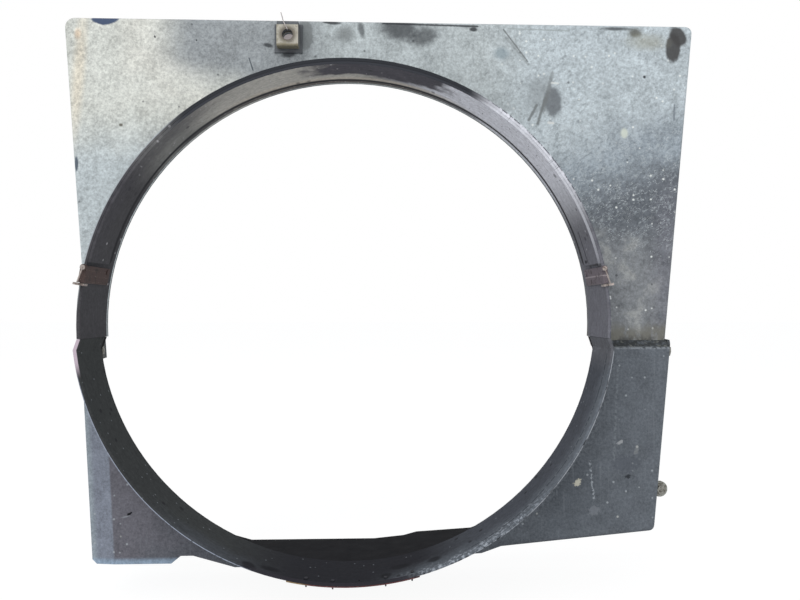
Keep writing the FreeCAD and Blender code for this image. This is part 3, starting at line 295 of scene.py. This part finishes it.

# patches and scratches painted on the front of the plate, each at its own place
dark, deep, navy, ash = rgb(66, 69, 72), rgb(48, 50, 54), rgb(72, 86, 112), rgb(118, 122, 122)
tatter = (upper.noise(180, 4) - 0.5) * 0.9
front = upper.y.ramp(-0.0715, -0.0745)
for color, strength, soft, place in (
        (navy, 1.0, 0.12, (-0.2674, 0.3300, 0.0142, 0.0072, 0)),
        (dark, 0.9, 0.4, (-0.0679, 0.2926, 0.0077, 0.0028, 8)),
        (dark, 0.9, 0.4, (-0.0906, 0.3026, 0.0050, 0.0022, -10)),
        (ash, 0.75, 0.15, (-0.0500, 0.3148, 0.0085, 0.0165, 0)),
        (dark, 0.85, 0.5, (0.0541, 0.3235, 0.0219, 0.0131, -10)),
        (dark, 0.75, 0.5, (0.0816, 0.3146, 0.0153, 0.0090, 25)),
        (deep, 0.9, 0.4, (-0.0212, 0.3293, 0.0099, 0.0026, -5)),
        (dark, 0.7, 0.5, (0.0115, 0.3215, 0.0034, 0.0088, 12)),
        (ash, 0.7, 0.6, (-0.0060, 0.3160, 0.0099, 0.0080, 0)),
        (deep, 0.9, 0.4, (0.1356, 0.3236, 0.0044, 0.0024, 0)),
        (rgb(125, 142, 150), 0.6, 0.6, (0.1666, 0.2971, 0.0077, 0.0066, 0)),
        (rgb(104, 108, 112), 0.85, 0.25, (0.2240, 0.2440, 0.0095, 0.0165, 2)),
        (rgb(132, 137, 139), 0.5, 0.6, (0.2080, 0.2520, 0.0120, 0.0200, -20)),
        (rgb(70, 69, 69), 0.95, 0.2, (0.3600, 0.3060, 0.0085, 0.0165, -4)),
        (rgb(70, 69, 69), 0.95, 0.25, (0.3660, 0.3190, 0.0085, 0.0120, 30)),
        (rgb(84, 82, 70), 0.8, 0.6, (0.3172, 0.3224, 0.0075, 0.0049, 0)),
        (dark, 0.8, 0.5, (0.2959, 0.3267, 0.0153, 0.0020, 0)),
        (deep, 0.9, 0.3, (0.3273, 0.2727, 0.0015, 0.0015, 0)),
        (rgb(214, 219, 205), 0.8, 0.4, (0.3043, 0.2095, 0.0040, 0.0052, 0)),
        (rgb(70, 82, 96), 0.9, 0.3, (-0.2962, 0.1709, 0.0022, 0.0077, 0)),
        (rgb(88, 84, 72), 0.9, 0.5, (-0.2488, 0.2134, 0.0020, 0.0016, 0)),
        (deep, 0.9, 0.3, (-0.2131, 0.3104, 0.0010, 0.0015, 30)),
        (deep, 0.9, 0.3, (-0.1681, 0.3071, 0.0009, 0.0010, 0)),
        (rgb(150, 148, 130), 0.5, 0.7, (0.3300, 0.3120, 0.0200, 0.0080, 0))):
    upper.paint(color, upper.spot(*place, soft, tatter * (0.35 + soft * 0.6)) * front * strength)
for color, strength, start, end, wide in (
        (ash, 0.85, (0.1690, 0.3240), (0.1960, 0.2885), 0.0008),
        (ash, 0.45, (0.1721, 0.3148), (0.1970, 0.2850), 0.0014),
        (ash, 0.6, (0.2235, 0.2760), (0.2130, 0.2330), 0.0020),
        (ash, 0.85, (0.2155, 0.2480), (0.2070, 0.2195), 0.0016),
        (ash, 0.85, (0.2060, 0.2400), (0.1970, 0.2230), 0.0014),
        (rgb(150, 157, 156), 0.6, (0.1743, 0.3250), (0.2422, 0.3235), 0.0007),
        (rgb(64, 72, 80), 0.8, (-0.1111, 0.2882), (-0.1068, 0.2749), 0.0007),
        (rgb(96, 102, 110), 0.6, (0.3612, 0.2417), (0.3605, 0.2250), 0.0011),
        (rgb(50, 52, 56), 0.9, (0.0355, 0.3290), (0.1400, 0.3270), 0.0012),
        (rgb(226, 226, 222), 0.7, (0.2190, 0.2205), (0.2240, 0.2200), 0.0014),
        (rgb(226, 228, 224), 0.7, (0.2230, 0.2650), (0.2300, 0.2645), 0.0011)):
    upper.paint(color, upper.stroke(start, end, wide) * front * strength)
dirt = (upper.z + (cloth - 0.5) * 0.02).ramp(0.002, -0.014) * upper.x.ramp(0.2, 0.25)
upper.paint(rgb(118, 116, 106), dirt * (rub + 0.1).ramp(0.42, 0.6) * 0.8)
# a patchy darker strip along the bottom of the plate just above the lap: dirt with painted crevice
# shade
upper.paint(rgb(84, 84, 82), upper.z.ramp(-0.012, -0.022) * upper.noise(120, 4).ramp(0.4, 0.6)
            * upper.x.ramp(0.2, 0.25))
plate_color = upper.color
# the inside of the pan never saw the sun: darker, with road dust that has settled on it; a painted
# pool of light on its top wall, as if light fell in through the clip nut's hole, shows through that
# hole
upper.color = None
upper.paint(rgb(74, 77, 79))
upper.paint(rgb(126, 121, 110), upper.noise(14, 5).ramp(0.42, 0.7) * 0.55)
upper.shade((cloth - 0.5) * 0.3 + 1.0)
# painted light: a pale oval on the top wall behind the clip nut's hole
across, deep_in = (upper.x + 0.087) / 0.022, (upper.y + 0.036) / 0.026
lit = (across * across + deep_in * deep_in).math("SQRT").ramp(1.3, 0.8)
upper.paint(rgb(246, 232, 230), lit * upper.z.greater(0.324))
hidden_color = upper.color

inward = (upper.x * upper.nx + upper.z * upper.nz) / upper.out
in_ring = upper.out.less(0.2638) * upper.y.less(UPPER_RING_ROOT) * upper.z.greater(-0.04)
behind = (upper.ny.greater(0.35) * upper.y.greater(MID_PLATE)
          + inward.less(-0.5) * upper.y.greater(MID_PLATE)).clamped()
upper.color = plate_color
# painted shade: the right-hand side wall is darkened towards its lower part
side = upper.nx.ramp(0.55, 0.85) * upper.y.greater(-0.0775)
upper.paint(rgb(98, 101, 108), side * upper.x.greater(0.0) * upper.z.ramp(0.3, 0.16) * 0.75)
rear_side = upper.y.greater(-0.0745) * (1.0 - behind)
upper.paint(rgb(150, 155, 158), rear_side * 0.7)
upper.paint(hidden_color, behind)
lip = upper.y.less(LIP_FACE) * upper.out.greater(0.2615)
rim = lip * upper.out.ramp(0.2642, 0.2648)
upper.paint(ring_color, (in_ring + lip).clamped())
# painted shade along the top of the lip's front face
upper.paint(rgb(44, 46, 51), lip * upper.arc(58, 132, 5))
# painted highlight along the rim of the lip at the upper left, where the fold catches light
upper.paint(rgb(178, 184, 188), rim * upper.arc(132, 174, 5) * 0.9)
upper.paint(rgb(84, 86, 94), rim * upper.arc(-10, 58, 5) * grain.ramp(0.4, 0.55))
# the outside of the barrel in front of the plate is painted dark: painted shade, with some dirt
barrel = upper.y.less(UPPER_RING_ROOT) * upper.out.greater(0.2645)
upper.paint(rgb(86, 88, 92), barrel * (1.0 - lip) * 0.8)
upper_rough = (cloth - 0.5) * 0.25 + 0.66
dress(upper.finish(upper_rough, grain * 0.4 + cloth * 0.6 + worm * patchy * 0.4, 0.35, 0.0008),
      "upper_shell")


# The lower moulding is a younger piece of the same plastic, still slate. Its lip is rubbed pale on
# the right; painted highlights run along its lower-left lip and its left and bottom folds, and the
# inside of the pan is painted nearly black as painted shade.
lower = Surface("lower_plastic", roughness=0.6, shine=0.05)
cloud = lower.noise(8, 4)
cloth = lower.noise(55, 5)
grain = lower.noise(300, 3)
OVAL_ACROSS, OVAL_DOWN, OVAL_RISE = 0.2675, 0.2628, 0.0055
oval = ((lower.x / OVAL_ACROSS).power(2.0)
        + ((lower.z - OVAL_RISE) / OVAL_DOWN).power(2.0)).math("SQRT")
near_lip = (lower.y + (cloth - 0.5) * 0.03).ramp(-0.108, LIP_FRONT)
# inside of the ring, by angle
lower.paint(rgb(61, 63, 63))
lower.paint(rgb(38, 38, 43), lower.arc(-112, -62, 12))
lower.paint(rgb(74, 77, 84), lower.arc(-66, 10, 10))
lower.paint(rgb(108, 114, 121), lower.arc(-78, -8, 8) * near_lip * 0.8)
lower.paint(rgb(98, 99, 104), lower.arc(-9, 20, 3))
lower.paint(rgb(84, 88, 96), lower.arc(-132, -112, 10) * near_lip * 0.5)
lower.paint(rgb(164, 170, 178), lower.arc(-75, -44, 6) * near_lip.ramp(0.6, 1.0)
            * grain.ramp(0.46, 0.62) * 0.8)
lower.paint(rgb(66, 56, 54), lower.arc(160, 181, 1) * 0.35)
streaks = lower.noise(1, 4, at=lower.vector(lower.around * 0.3, lower.y * 700.0, 0.0))
lower.shade((streaks - 0.5) * 0.8 + (grain - 0.5) * 0.7 + (cloth - 0.5) * 0.5 + 1.0)
seam = abs(lower.y + 0.1265 + (cloth - 0.5) * 0.002).ramp(0.0010, 0.0004)
lower.paint(rgb(40, 42, 48), seam * lower.arc(-62, -6, 4) * 0.75)
lower.paint(rgb(150, 156, 162), seam.ramp(0.0, 0.5) * lower.arc(-62, -6, 4)
            * grain.ramp(0.52, 0.6) * 0.4)
lower.paint(rgb(34, 34, 38), lower.flecks(80, 0.24, 0.14) * 0.7)
lower.paint(rgb(150, 156, 162), lower.flecks(200, 0.22, 0.12) * 0.45)
for where, depth, wide in ((-107.5, -0.127, 2.6), (-112.0, -0.133, 1.4), (-78.0, -0.112, 2.2),
                           (-81.5, -0.126, 1.3), (-70.0, -0.118, 1.5)):
    along = (lower.around - where) / wide
    over = (lower.y - depth) / 0.005
    far = (along * along + over * over).math("SQRT") + (cloth - 0.5) * 1.6
    lower.paint(rgb(26, 26, 30), far.ramp(1.4, 0.6) * 0.8)
inner_color = lower.color

lower.color = None
lower.paint(rgb(102, 107, 113))
lower.paint(rgb(110, 109, 116), lower.x.ramp(-0.1, -0.16))
lower.paint(rgb(116, 122, 129), cloud.ramp(0.55, 0.8) * 0.35)
lower.paint(rgb(84, 89, 95), cloud.ramp(0.48, 0.25) * 0.6)
LEFT_SLOPE = 0.062
from_left = lower.x + lower.z * LEFT_SLOPE
# painted light on the lower left: the sloping strip is lighter, a painted highlight runs along the
# left fold, and a bluish painted highlight along the bottom fold
lower.paint(rgb(134, 140, 152), from_left.ramp(-0.2628, -0.2652) * 0.9)
lower.paint(rgb(156, 166, 172), from_left.ramp(-0.2800, -0.2875) * 0.7)
lower.paint(rgb(150, 170, 190), lower.z.ramp(-0.2485, -0.2545) * lower.x.less(-0.17) * 0.8)
# painted shade: darker towards the bottom fold on the right
lower.paint(rgb(72, 76, 82), lower.z.ramp(-0.228, -0.2425) * lower.x.greater(0.15) * 0.45)
fine = lower.noise(620, 2)
lower.shade((cloth - 0.5) * 0.60 + (grain - 0.5) * 0.75 + (fine - 0.5) * 0.70 + 1.0)
brush = lower.noise(1, 3, at=lower.vector(lower.x * 300.0, lower.z * 14.0, 0.0))
lower.paint(rgb(124, 129, 135), brush.ramp(0.58, 0.75) * 0.35)
near_ring = (oval + (cloth - 0.5) * 0.09).ramp(1.12, 1.02) * lower.y.greater(-0.095)
lower.paint(rgb(152, 158, 164), near_ring * grain.ramp(0.44, 0.60) * lower.x.greater(0.1) * 0.75)
lower.paint(rgb(176, 182, 186), lower.flecks(140, 0.22, 0.14) * 0.6)
lower.paint(rgb(192, 194, 190), lower.flecks(45, 0.09, 0.3) * 0.7)
pale, black = rgb(214, 210, 192), rgb(28, 28, 32)
rough_edge = (lower.noise(380, 4) - 0.5) * 2.6
for color, strength, place in (
        (black, 1.0, (-0.2331, -0.2034, 0.0034, 0.0013, 35)),
        (rgb(150, 154, 160), 0.7, (-0.2375, -0.2066, 0.0040, 0.0008, 15)),
        (pale, 0.85, (0.2470, -0.1745, 0.0046, 0.0030, 50)),
        (rgb(176, 178, 180), 0.7, (0.2936, -0.1317, 0.0030, 0.0018, 30)),
        (rgb(84, 88, 96), 0.5, (0.3002, -0.1549, 0.0151, 0.0086, 0)),
        (rgb(40, 42, 46), 0.8, (0.3020, -0.1690, 0.0030, 0.0020, 0)),
        (rgb(128, 132, 138), 0.6, (0.2650, -0.2050, 0.0060, 0.0050, 20)),
        (rgb(150, 152, 152), 0.4, (0.3120, -0.1400, 0.0018, 0.0050, -15))):
    lower.paint(color, lower.spot(*place, 0.3, rough_edge) * strength)
lower.paint(rgb(170, 176, 182), lower.stroke((0.2604, -0.1520), (0.2645, -0.1916), 0.0013)
            * grain.ramp(0.46, 0.58) * 0.8)
lower.paint(rgb(132, 138, 143), lower.stroke((0.2925, -0.0400), (0.2869, -0.1500), 0.0013)
            * grain.ramp(0.40, 0.58) * 0.5)
# the sloping step under the lap is darkened in patches, dirt with painted crevice shade, and its
# crest is painted paler
step = lower.z.ramp(-0.0300, -0.0275) * lower.y.greater(-0.0880)
lower.paint(rgb(58, 60, 60), step * lower.noise(140, 4).ramp(0.25, 0.55) * 0.9)
lower.paint(rgb(108, 110, 106), step * lower.noise(240, 3).ramp(0.56, 0.66) * 0.8)
crest = lower.z.ramp(-0.0308, -0.0296) * lower.z.ramp(-0.0270, -0.0284)
lower.paint(rgb(150, 155, 160), crest * grain.ramp(0.35, 0.55) * 0.7)
flat_color = lower.color

# the inside of the pan is painted nearly black, as painted shade, and bare
lower.color = None
lower.paint(rgb(15, 14, 18))
lower.paint(rgb(40, 30, 30), lower.noise(30, 4).ramp(0.58, 0.8) * 0.4)
lower.paint(rgb(44, 45, 50), lower.noise(12, 5).ramp(0.6, 0.85) * 0.3)
lower.paint(rgb(228, 226, 222), lower.stroke((-0.1530, -0.2430), (-0.1515, -0.2500), 0.0006))
lower.paint(rgb(206, 190, 190), lower.stroke((0.0230, -0.2480), (0.0300, -0.2485), 0.0006) * 0.8)
inside_shade_color = lower.color

inside = (lower.y.greater(-0.0838)
          * ((lower.x * lower.nx + lower.z * lower.nz) / lower.out).less(-0.25)
          + lower.ny.greater(0.4) * lower.y.less(-0.004)).clamped()
in_ring = oval.less(1.006) * lower.y.less(-0.0835) * lower.z.less(-0.015)
lip = lower.y.less(LIP_FACE)
rim = lip * oval.ramp(1.0080, 1.0100)
lower.color = flat_color
lower.paint(inside_shade_color, inside)
lower.paint(inner_color, (in_ring + lip).clamped())
# painted shade: the outside of the barrel is painted dark
barrel = oval.greater(1.008) * lower.y.less(-0.0885)
lower.paint(rgb(60, 62, 66), barrel)
# painted highlight along the rim of the lip at the lower left, broken up by the grain
lower.paint(rgb(160, 167, 182), rim * lower.arc(-168, -112, 4) * grain.ramp(0.25, 0.45) * 0.95)
lower.paint(rgb(214, 196, 208), lip * lower.arc(172, 181, 2) * 0.95)
lower.paint(rgb(214, 196, 208), lip * lower.arc(-181, -170, 2) * 0.8)
lower.paint(rgb(176, 180, 186), rim * lower.arc(-48, -2, 5) * cloth.ramp(0.40, 0.52) * 0.8)
lower.paint(rgb(168, 174, 182), rim * lower.arc(-75, -48, 5) * grain.ramp(0.4, 0.55) * 0.9)
lower.paint(rgb(52, 50, 56), lip * lower.arc(-112, -75, 4) * 0.9)
dress(lower.finish((cloth - 0.5) * 0.2 + 0.52, grain * 0.4 + cloth * 0.4, 0.3, 0.0008),
      "lower_shell")


# The liner is a strip of the same plastic pushed inside the ring. Its front edge is scuffed, its
# rear edge carries a painted dark line of shade at its step, and a big smear of grease lies across
# the top.
liner = Surface("liner_plastic", roughness=0.6)
edge = liner.y.ramp(-0.09, LIP_FRONT)
grain = band_colours(liner, edge)
# painted shade: a dark line along the liner's rear edge, at its step
liner.paint(rgb(30, 30, 34), edge.ramp(0.06, 0.025))
# painted shadow: a dark band at the liner's lower ends
liner.paint(rgb(34, 34, 38), liner.z.ramp(0.0605, 0.0590) * 0.9)
hook = ((liner.around - 17.5) / 3.4).power(2.0)
side = abs(liner.y + 0.107 + hook * 0.0015)
liner.paint(rgb(40, 40, 46), side.ramp(0.0012, 0.0006) * liner.arc(13.8, 21.5, 0.4))
liner.paint(rgb(40, 40, 46), (liner.around - 14.2).math("ABSOLUTE").ramp(0.5, 0.2)
            * liner.y.greater(-0.1065) * liner.y.less(-0.1000))
# painted shade along the top of the lip's front face
liner.paint(rgb(52, 54, 60), liner.y.less(LIP_FACE) * liner.arc(58, 132, 4))
liner.paint(rgb(190, 192, 198), liner.y.less(LIP_FACE) * liner.arc(15, 58, 5) * 0.5)
dress(liner.finish((grain - 0.5) * 0.25 + 0.6, grain, 0.3, 0.0006), "upper_ring_liner")


# Clips, strips, rivets and bails are mild steel that has gone brown, with the last of the zinc on
# the edges and mauve-brown scale on the right-hand clip.
clips = Surface("clip_steel", roughness=0.6)
rust = clips.noise(160, 5)
clips.paint(rgb(80, 66, 63))
clips.paint(rgb(112, 104, 110), clips.x.greater(0.0) * 0.95)
fold = abs(clips.z - 0.0475).ramp(0.0009, 0.0004) * clips.x.greater(0.0)
clips.paint(rgb(176, 166, 168), fold * 0.6)
clips.paint(rgb(52, 44, 42), rust.ramp(0.5, 0.3) * 0.8)
clips.paint(rgb(104, 86, 78), rust.ramp(0.6, 0.75) * 0.5)
clips.paint(rgb(150, 140, 132), clips.z.ramp(0.0395, 0.0385) * 0.6)
clips.paint(rgb(198, 188, 170), clips.flecks(900, 0.3, 0.12) * 0.5)
dress(clips.finish((rust - 0.5) * 0.4 + 0.62, rust, 0.5, 0.0003), "left_ring_clip",
      "right_ring_clip", "left_clip_rivet", "right_clip_rivet")

bright = Surface("wire_steel", roughness=0.5, metallic=0.15)
wear = bright.noise(300, 4)
bright.paint(rgb(164, 154, 148))
bright.paint(rgb(108, 92, 86), wear.ramp(0.50, 0.64) * 0.8)
bright.paint(rgb(206, 190, 182), wear.ramp(0.42, 0.3) * 0.8)
dress(bright.finish((wear - 0.5) * 0.4 + 0.5, wear, 0.4, 0.0002), "left_hook_strip",
      "right_hook_strip", "left_bail", "right_bail")


# The clip nut is spring steel whose plating has dulled to grey-olive, with dirt round its hole.
# The loose tie wire hooked in it is bright, with brown spots.
nut = Surface("nut_steel", roughness=0.7)
wear = nut.noise(240, 5)
hole = nut.spot(-0.0679, 0.3102, 0.0092, 0.0092, 0, 0.25, (wear - 0.5) * 0.8)
nut.paint(rgb(186, 181, 168))
nut.paint(rgb(146, 140, 122), wear.ramp(0.50, 0.64) * 0.7)
nut.paint(rgb(184, 180, 160), wear.ramp(0.42, 0.3) * 0.7)
nut.paint(rgb(134, 126, 104), nut.z.ramp(0.3012, 0.2992) * 0.8)
nut.paint(rgb(84, 76, 68), hole * 0.75)
nut.paint(rgb(70, 62, 54), nut.flecks(500, 0.3, 0.2) * 0.6)
dress(nut.finish((wear - 0.5) * 0.4 + 0.55, wear, 0.4, 0.0003), "top_clip_nut")

tie = Surface("tie_wire_steel", roughness=0.4, metallic=0.2)
twist = tie.noise(500, 3)
tie.paint(rgb(196, 190, 188))
tie.paint(rgb(120, 104, 100), twist.ramp(0.5, 0.65) * 0.8)
dress(tie.finish((twist - 0.5) * 0.3 + 0.45, twist, 0.3, 0.0002), "tie_wire")


# The side bolt and its washer are plain zinc gone dull, dusted with road dirt. The bolts, nuts
# and washers through the lap are the same.
bolts = Surface("bolt_steel", roughness=0.5, metallic=0.3)
wear = bolts.noise(260, 5)
bolts.paint(rgb(160, 158, 150))
bolts.paint(rgb(92, 86, 76), wear.ramp(0.50, 0.64) * 0.8)
bolts.paint(rgb(186, 184, 176), wear.ramp(0.42, 0.28) * 0.8)
bolts.paint(rgb(56, 52, 48), bolts.flecks(420, 0.32, 0.25) * 0.7)
dress(bolts.finish((wear - 0.5) * 0.4 + 0.5, wear, 0.5, 0.0003), "side_bolt", "left_lap_bolts",
      "right_lap_bolts", "left_lap_nuts", "right_lap_nuts")

washers = Surface("washer_steel", roughness=0.45, metallic=0.3)
wear = washers.noise(200, 5)
washers.paint(rgb(168, 168, 160))
washers.paint(rgb(104, 98, 86), wear.ramp(0.5, 0.66) * 0.8)
washers.paint(rgb(206, 204, 196), wear.ramp(0.42, 0.3) * 0.7)
dress(washers.finish((wear - 0.5) * 0.4 + 0.5, wear, 0.5, 0.0003), "side_bolt_washer",
      "left_lap_washers", "right_lap_washers")


# The rubbing strip under the lip is a reddish rubber, abraded and grimy, and black plastic pins
# hold it on.
strip = Surface("strip_rubber", roughness=0.8)
wear = strip.noise(220, 5)
strip.paint(rgb(104, 66, 66))
strip.paint(rgb(64, 50, 52), wear.ramp(0.5, 0.62) * 0.8)
strip.paint(rgb(168, 150, 110), strip.spot(-0.052, -0.255, 0.012, 0.006, 0, 0.5) * 0.6)
strip.paint(rgb(140, 100, 100), wear.ramp(0.4, 0.28) * 0.6)
dress(strip.finish((wear - 0.5) * 0.3 + 0.8, wear, 0.5, 0.0003), "lip_strip")

pins = Surface("pin_plastic", roughness=0.55)
wear = pins.noise(400, 4)
pins.paint(rgb(56, 55, 60))
pins.paint(rgb(120, 104, 104), pins.z.ramp(-0.2585, -0.2600) * 0.7)
pins.paint(rgb(34, 34, 38), wear.ramp(0.5, 0.65) * 0.6)
dress(pins.finish((wear - 0.5) * 0.3 + 0.6, wear, 0.3, 0.0002), "lip_pins")


# The stage: a pale floor a little below the part, a white surround, and broad soft lamps. The
# floor glows a little to the camera, so that it stays white and still takes a shadow.
FLOOR_LEVEL = -0.30
bpy.ops.object.select_all(action="DESELECT")
bpy.ops.mesh.primitive_plane_add(size=30, location=(0, 0, FLOOR_LEVEL))
floor = bpy.context.object
floor.name = "floor"
bpy.ops.object.transform_apply(location=True)
ground = bpy.data.materials.new("floor_white")
ground.use_nodes = True
tree = ground.node_tree
matt = tree.nodes["Principled BSDF"]
matt.inputs["Base Color"].default_value = (0.86, 0.86, 0.86, 1)
matt.inputs["Roughness"].default_value = 0.9
glow = tree.nodes.new("ShaderNodeEmission")
glow.inputs["Color"].default_value = (1, 1, 1, 1)
glow.inputs["Strength"].default_value = 1.09
blend = tree.nodes.new("ShaderNodeMixShader")
seen = tree.nodes.new("ShaderNodeLightPath")
tree.links.new(seen.outputs["Is Camera Ray"], blend.inputs["Fac"])
tree.links.new(matt.outputs[0], blend.inputs[1])
add = tree.nodes.new("ShaderNodeMixShader")
add.inputs["Fac"].default_value = 0.85
tree.links.new(matt.outputs[0], add.inputs[1])
tree.links.new(glow.outputs[0], add.inputs[2])
tree.links.new(add.outputs[0], blend.inputs[2])
tree.links.new(blend.outputs[0], tree.nodes["Material Output"].inputs["Surface"])
floor.data.materials.append(ground)

world = bpy.data.worlds.new("surround")
world.use_nodes = True
bpy.context.scene.world = world
tree = world.node_tree
tree.nodes.clear()
ambient = tree.nodes.new("ShaderNodeBackground")
ambient.inputs["Color"].default_value = (0.93, 0.96, 1.0, 1)
ambient.inputs["Strength"].default_value = 0.55
white = tree.nodes.new("ShaderNodeBackground")
white.inputs["Color"].default_value = (1, 1, 1, 1)
white.inputs["Strength"].default_value = 1.0
path = tree.nodes.new("ShaderNodeLightPath")
direct = tree.nodes.new("ShaderNodeMath")
direct.operation = "MAXIMUM"
tree.links.new(path.outputs["Is Camera Ray"], direct.inputs[0])
tree.links.new(path.outputs["Is Transmission Ray"], direct.inputs[1])
choice = tree.nodes.new("ShaderNodeMixShader")
tree.links.new(direct.outputs[0], choice.inputs["Fac"])
tree.links.new(ambient.outputs[0], choice.inputs[1])
tree.links.new(white.outputs[0], choice.inputs[2])
result = tree.nodes.new("ShaderNodeOutputWorld")
tree.links.new(choice.outputs[0], result.inputs["Surface"])

for name, place, turn, span, power in (
        ("key", (-1.4, -2.0, 1.9), (50, 0, -35), 2.4, 42.0),
        ("fill", (1.9, -1.8, 0.8), (72, 0, 48), 2.2, 16.0)):
    bpy.ops.object.light_add(type="AREA", location=place)
    lamp = bpy.context.object
    lamp.name = name
    lamp.rotation_euler = Euler([math.radians(angle) for angle in turn])
    lamp.data.size = span
    lamp.data.energy = power

# The camera stands 0.66 m in front of the plate, turned a little to the right and up.
CAMERA_YAW = 1.814
CAMERA_PITCH = 0.954
bpy.ops.object.camera_add(location=(0.03334, -0.735, 0.01261))
camera = bpy.context.object
camera.rotation_euler = Euler((math.radians(90 + CAMERA_PITCH), 0, math.radians(-CAMERA_YAW)))
camera.data.lens = 27.0
camera.data.sensor_width = 36.0
bpy.context.scene.camera = camera
bpy.context.scene.view_settings.view_transform = "Standard"
